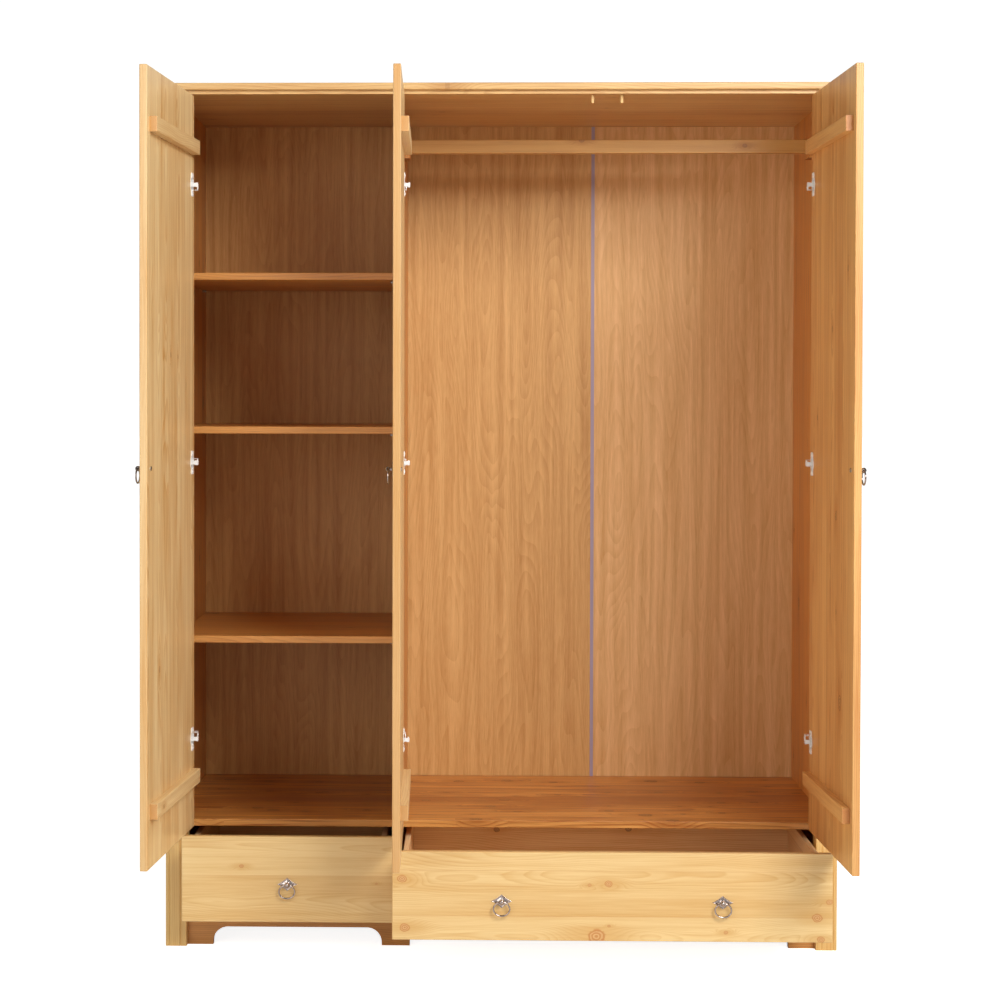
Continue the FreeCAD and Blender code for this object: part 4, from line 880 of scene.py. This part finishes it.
def pulls():
    """Back plates with their balls, on the doors and the drawer fronts."""
    template = pull_template()
    for body, node, names in (
        ("door_left", "door_left_pull", ("ring_door_left",)),
        ("door_middle", "door_middle_pull", ("ring_door_middle",)),
        ("door_right", "door_right_pull", ("ring_door_right",)),
        ("drawer_left", "left_drawer_pulls", ("ring_drawer_left",)),
        ("drawer_right", "right_drawer_pulls", ("ring_drawer_right_a", "ring_drawer_right_b")),
    ):
        joints = [JOINTS[f"{name}_swing"] for name in names]
        axis = joints[0]["axis"]
        outward = Vector((-axis[1], axis[0], 0))
        first = Vector(joints[0]["pos_m"])
        step = Vector(joints[-1]["pos_m"]) - first
        turn = Matrix((UP.cross(outward), UP, outward)).transposed().to_4x4()
        mesh = template.copy()
        mesh.transform(Matrix.Translation(first - outward * BALL_REACH) @ turn)
        piece = grown(f"{node}_plates", mesh, ROW, {"Count": len(names), "Step": step}, NICKEL)
        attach(piece, body)
        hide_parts(node)


def cup_template():
    """A hinge cup: a drawn bowl with its winged flange and two screws, and the flared link
    that the arm takes hold of. X runs from the hinge axis, Y out of the door's inner face."""
    whole = bmesh.new()
    at_cup = Matrix.Translation((CUP_SETBACK, DOOR_INNER, 0)) @ Matrix.Rotation(-math.pi / 2, 4, "X")
    bowl = [
        (0, -11.8), (14.2, -11.8), (16.4, -10.9), (17.3, -8.8), (17.3, 0.05), (17.9, 0.05), (17.9, 0.5),
        (17.6, 0.8), (16.4, 0.8), (15.6, 0.3), (15.4, -8.2), (14.6, -9.8), (12.8, -10.4), (0, -10.4),
    ]
    merge_in(whole, turned(bowl, 48), at_cup)
    wing = [(10.5, 14.4)]
    for corner, turn in ((7.5, 0), (-7.5, 90)):
        wing += [
            (corner + 3 * math.cos(a), 23 + 3 * math.sin(a))
            for a in [math.radians(turn + d) for d in range(0, 91, 18)]
        ]
    wing.append((-10.5, 14.4))
    head = cross_head(3.6, 1.2)
    for side in (1, -1):
        wings = pressed([(x, side * y) for x, y in wing], 1.6)
        merge_in(whole, wings, at_cup)
        merge_in(whole, from_mesh(head), at_cup @ Matrix.Translation((0, side * 20.5 * MM, 1.4 * MM)))
    # Link: two flared cheeks and a web that faces the free edge.
    cheek = [
        (27, -6), (27, 0.5), (23.4, 4.5), (23.4, 11.6), (21.6, 13), (12, 13), (10.6, 11.6), (10.6, 8.5),
        (20, 0.5), (20, -6),
    ]
    for side in (1, -1):
        part = pressed(cheek, 1.4, 0.3)
        lean = Matrix.Rotation(side * math.radians(-7.5), 4, "X")
        place = Matrix.Translation((0, DOOR_INNER, side * 3.0 * MM)) @ lean
        if side < 0:
            place = place @ Matrix.Scale(-1, 4, UP)
        merge_in(whole, part, place)
    web = bmesh.new()
    corners = [(23.6, 0.5, 3.2), (23.6, 12.8, 5.2), (21.8, 12.8, 5.2), (21.8, 0.5, 3.2)]
    top = [web.verts.new((x * MM, y * MM + DOOR_INNER, z * MM)) for x, y, z in corners]
    bottom = [web.verts.new((x * MM, y * MM + DOOR_INNER, -z * MM)) for x, y, z in corners]
    web.faces.new(top)
    web.faces.new(bottom)
    for i in range(4):
        web.faces.new((top[i], top[(i + 1) % 4], bottom[(i + 1) % 4], bottom[i]))
    merge_in(whole, web)
    for x, y in ((14.0, 10.2), (23.5, -2.5)):
        pin = turned([(0, -5.4), (1.5, -5.4), (1.5, 5.4), (0, 5.4)], 20)
        merge_in(whole, pin, Matrix.Translation((x * MM, DOOR_INNER + y * MM, 0)))
    return as_mesh("hinge cup", whole)


def arm_template(floor):
    """A hinge arm on its mounting plate, its channel's floor at a height in millimetres off the
    wood. X runs from the wood into the bay, Y from the front of the arm to its back."""
    whole = bmesh.new()
    wing = [(0, -21), (3, -25), (23, -25), (26, -21), (26, 21), (23, 25), (3, 25), (0, 21)]
    flat = Matrix(((0, 0, 1), (1, 0, 0), (0, 1, 0))).to_4x4()
    merge_in(whole, pressed(wing, 2.0, 0.6), flat)
    if floor == POST_FLOOR:
        merge_in(whole, eased_block((1.5, 1.2, -9.5), (floor - 1.7, 24.8, 9.5), 1.6))
        merge_in(whole, eased_block((floor - 3.2, 2.5, -7.4), (floor, 24.0, 7.4), 1.2))
    head = cross_head(3.6, 1.8)
    for side in (1, -1):
        merge_in(whole, from_mesh(head), flat @ Matrix.Translation((13 * MM, side * 18 * MM, 1.9 * MM)))
    reach = floor + CHANNEL
    for side in (1, -1):
        cheek = eased_block((floor - 0.7, 0.2, 6.45), (reach, 25.8, 7.5), 0.4)
        merge_in(whole, cheek, Matrix.Scale(side, 4, UP))
    merge_in(whole, eased_block((reach - 1.6, 13.0, -7.2), (reach, 25.6, 7.2), 0.5))
    small = cross_head(2.2, 1.3)
    for depth in (16.4, 22.0):
        merge_in(whole, from_mesh(small), flat @ Matrix.Translation((depth * MM, 0, (reach - 0.2) * MM)))
    return as_mesh("hinge arm", whole)


def hinges():
    """Three concealed hinges on each door: cups ride on the doors, arms on the carcass."""
    cup, on_post, on_divider = cup_template(), arm_template(POST_FLOOR), arm_template(DIVIDER_FLOOR)
    for door in ("left", "middle", "right"):
        joint = JOINTS[f"door_{door}_hinge"]
        hand = -joint["axis"][2]
        rest = math.radians(hand * joint["range_deg"][0])
        boxes = solids_of(f"door_{door}_hinge_cups")
        heights = sorted({round((low.z + high.z) / 2, 4) for low, high in boxes})
        axis = Vector(joint["pos_m"])
        turn = Matrix.Rotation(rest, 4, "Z") @ Matrix.Scale(hand, 4, RIGHT)
        place = Matrix.Translation((axis.x, axis.y, heights[0])) @ turn
        mesh = cup.copy()
        mesh.transform(place)
        if hand < 0:
            mesh.flip_normals()
        step = Vector((0, 0, heights[1] - heights[0]))
        piece = grown(
            f"door_{door}_hinge_cup_set", mesh, ROW, {"Count": len(heights), "Step": step}, HINGE_STEEL,
        )
        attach(piece, f"door_{door}")
        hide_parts(f"door_{door}_hinge_cups")
    boxes = solids_of("hinge_plates")
    heights = sorted({round((low.z + high.z) / 2, 4) for low, high in boxes})
    lowest = bmesh.new()
    for low, high in boxes:
        if abs((low.z + high.z) / 2 - heights[0]) > MM:
            continue
        on_left = low.x < 0
        wood = low.x if on_left else high.x
        arm = on_post if high.x - low.x > 30 * MM else on_divider
        place = Matrix.Translation((wood, low.y, heights[0])) @ Matrix.Scale(1 if on_left else -1, 4, RIGHT)
        merge_in(lowest, from_mesh(arm), place)
    step = Vector((0, 0, heights[1] - heights[0]))
    repeats = {"Count": len(heights), "Step": step}
    piece = grown("hinge_arms", as_mesh("hinge arms", lowest), ROW, repeats, HINGE_STEEL)
    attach(piece, "carcass")
    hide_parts("hinge_plates")


def pegs_and_pins():
    """Shelf pins and the two pegs that the closed doors stop against."""
    for node, turn, finish, slot in (
        ("shelf_pins", (0, math.pi / 2, 0), SCREW_STEEL, "screw_metal"),
        ("door_stop_pegs", (0, 0, 0), None, "pine_small"),
    ):
        boxes = solids_of(node)
        places = bpy.data.meshes.new(node)
        places.from_pydata([(low + high) / 2 for low, high in boxes], [], [])
        size = boxes[0][1] - boxes[0][0]
        radius, length = size.y / 2, max(size)
        material = finish or NODES[node].data.materials[0]
        piece = grown(
            f"{node}_turned", places, DOWELS,
            {"Radius": radius, "Length": length, "Chamfer": 0.9 * MM, "Turn": turn}, material,
        )
        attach(piece, "carcass")
        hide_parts(node)


def carcass_screw_heads():
    """Cross-head screws through the sides into the floor board."""
    head = cross_head(4.4, 1.0)
    whole = bmesh.new()
    shank = 2.5
    for low, high in solids_of("carcass_screws"):
        length = (high.x - low.x) / MM
        outer, way = (low.x, 1) if low.x < 0 else (high.x, -1)
        middle = (low + high) / 2
        turn = Matrix.Rotation(way * math.pi / 2, 4, "Y")
        place = Matrix.Translation((outer, middle.y, middle.z)) @ turn
        cone = [
            (0, 0.7), (4.4, 0.7), (4.4, 1.0), (shank, 3.4), (shank, length - 3), (0.4, length - 0.2),
            (0, length - 0.2),
        ]
        merge_in(whole, turned(cone, 32), place)
        outwards = Matrix.Translation((0, 0, 1.05 * MM)) @ Matrix.Rotation(math.pi, 4, "X")
        merge_in(whole, from_mesh(head), place @ outwards)
    piece = bpy.data.objects.new("carcass_screw_set", as_mesh("carcass screws", whole))
    piece.data.materials.append(SCREW_STEEL)
    bpy.context.scene.collection.objects.link(piece)
    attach(piece, "carcass")
    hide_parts("carcass_screws")


pulls()
hinges()
pegs_and_pins()
carcass_screw_heads()


# ---- room, light and camera ----------------------------------------------------------------

def pale_floor():
    """A plain pale studio floor."""
    mesh = bpy.data.meshes.new("floor")
    reach = 60.0
    corners = [(-reach, -reach, 0), (reach, -reach, 0), (reach, reach, 0), (-reach, reach, 0)]
    mesh.from_pydata(corners, [], [(0, 1, 2, 3)])
    floor = bpy.data.objects.new("floor", mesh)
    bpy.context.scene.collection.objects.link(floor)
    material, tree = blank_material("matt white paint")
    where = add(tree, "ShaderNodeTexCoord").outputs["Object"]
    mottle = noise(tree, where, 3.0, 3.0)
    colour = blend(tree, mottle.outputs[0], linear("#FBFAF8"), linear("#F7F6F4"))
    path = add(tree, "ShaderNodeLightPath")
    glow = maths(tree, "MULTIPLY", path.outputs["Is Camera Ray"], 0.88)
    surface = add(tree, "ShaderNodeBsdfPrincipled", {
        "Base Color": colour, "Roughness": 0.9, "Emission Color": (1, 1, 1, 1), "Emission Strength": glow,
    })
    add(tree, "ShaderNodeOutputMaterial", {"Surface": surface})
    mesh.materials.append(material)


def soft_box(name, place, aim, size, power):
    """A large soft studio lamp at a place, turned to a point."""
    lamp = bpy.data.lights.new(name, "AREA")
    lamp.shape = "RECTANGLE"
    lamp.size, lamp.size_y = size
    lamp.energy = power
    holder = bpy.data.objects.new(name, lamp)
    holder.location = place
    holder.rotation_euler = (Vector(aim) - Vector(place)).to_track_quat("-Z", "Y").to_euler()
    bpy.context.scene.collection.objects.link(holder)


def studio():
    pale_floor()
    world = bpy.data.worlds.new("white room")
    bpy.context.scene.world = world
    world.use_nodes = True
    tree = world.node_tree
    tree.nodes.clear()
    seen = add(tree, "ShaderNodeBackground", {"Color": (1, 1, 1, 1), "Strength": 1.05})
    direction = add(tree, "ShaderNodeTexCoord").outputs["Generated"]
    height = add(tree, "ShaderNodeSeparateXYZ", {0: direction}).outputs[2]
    walls = spread(tree, height, (0.35, 0.6), (0.5, 0.2), interpolation_type="SMOOTHSTEP")
    felt = add(tree, "ShaderNodeBackground", {"Color": (1, 1, 1, 1), "Strength": walls})
    path = add(tree, "ShaderNodeLightPath")
    mixed = add(tree, "ShaderNodeMixShader", {0: path.outputs["Is Camera Ray"], 1: felt, 2: seen})
    add(tree, "ShaderNodeOutputWorld", {"Surface": mixed})
    soft_box("key", (2.1, -4.5, 3.4), (-0.1, -0.6, 0.9), (2.0, 2.0), 215)
    soft_box("fill", (-2.4, -5.0, 1.7), (0.0, -0.6, 0.9), (2.4, 2.4), 45)
    settings = bpy.context.scene.view_settings
    settings.view_transform = "Standard"
    settings.look = "None"


def photographer():
    """A long lens at chest height, a little left of the middle."""
    camera = bpy.data.cameras.new("camera")
    camera.sensor_width = 36.0
    camera.lens = 77.75
    camera.shift_x = 0.0719
    camera.shift_y = -0.0647
    camera.clip_end = 200.0
    holder = bpy.data.objects.new("camera", camera)
    yaw, pitch, roll = (math.radians(a) for a in (1.26, -1.036, 0.098))
    level = Matrix.Rotation(yaw, 4, "Z") @ Matrix.Rotation(math.pi / 2 + pitch, 4, "X")
    turn = level @ Matrix.Rotation(roll, 4, "Z")
    holder.matrix_world = Matrix.Translation((-0.0572, -5.411, 1.234)) @ turn
    bpy.context.scene.collection.objects.link(holder)
    bpy.context.scene.camera = holder


studio()
photographer()
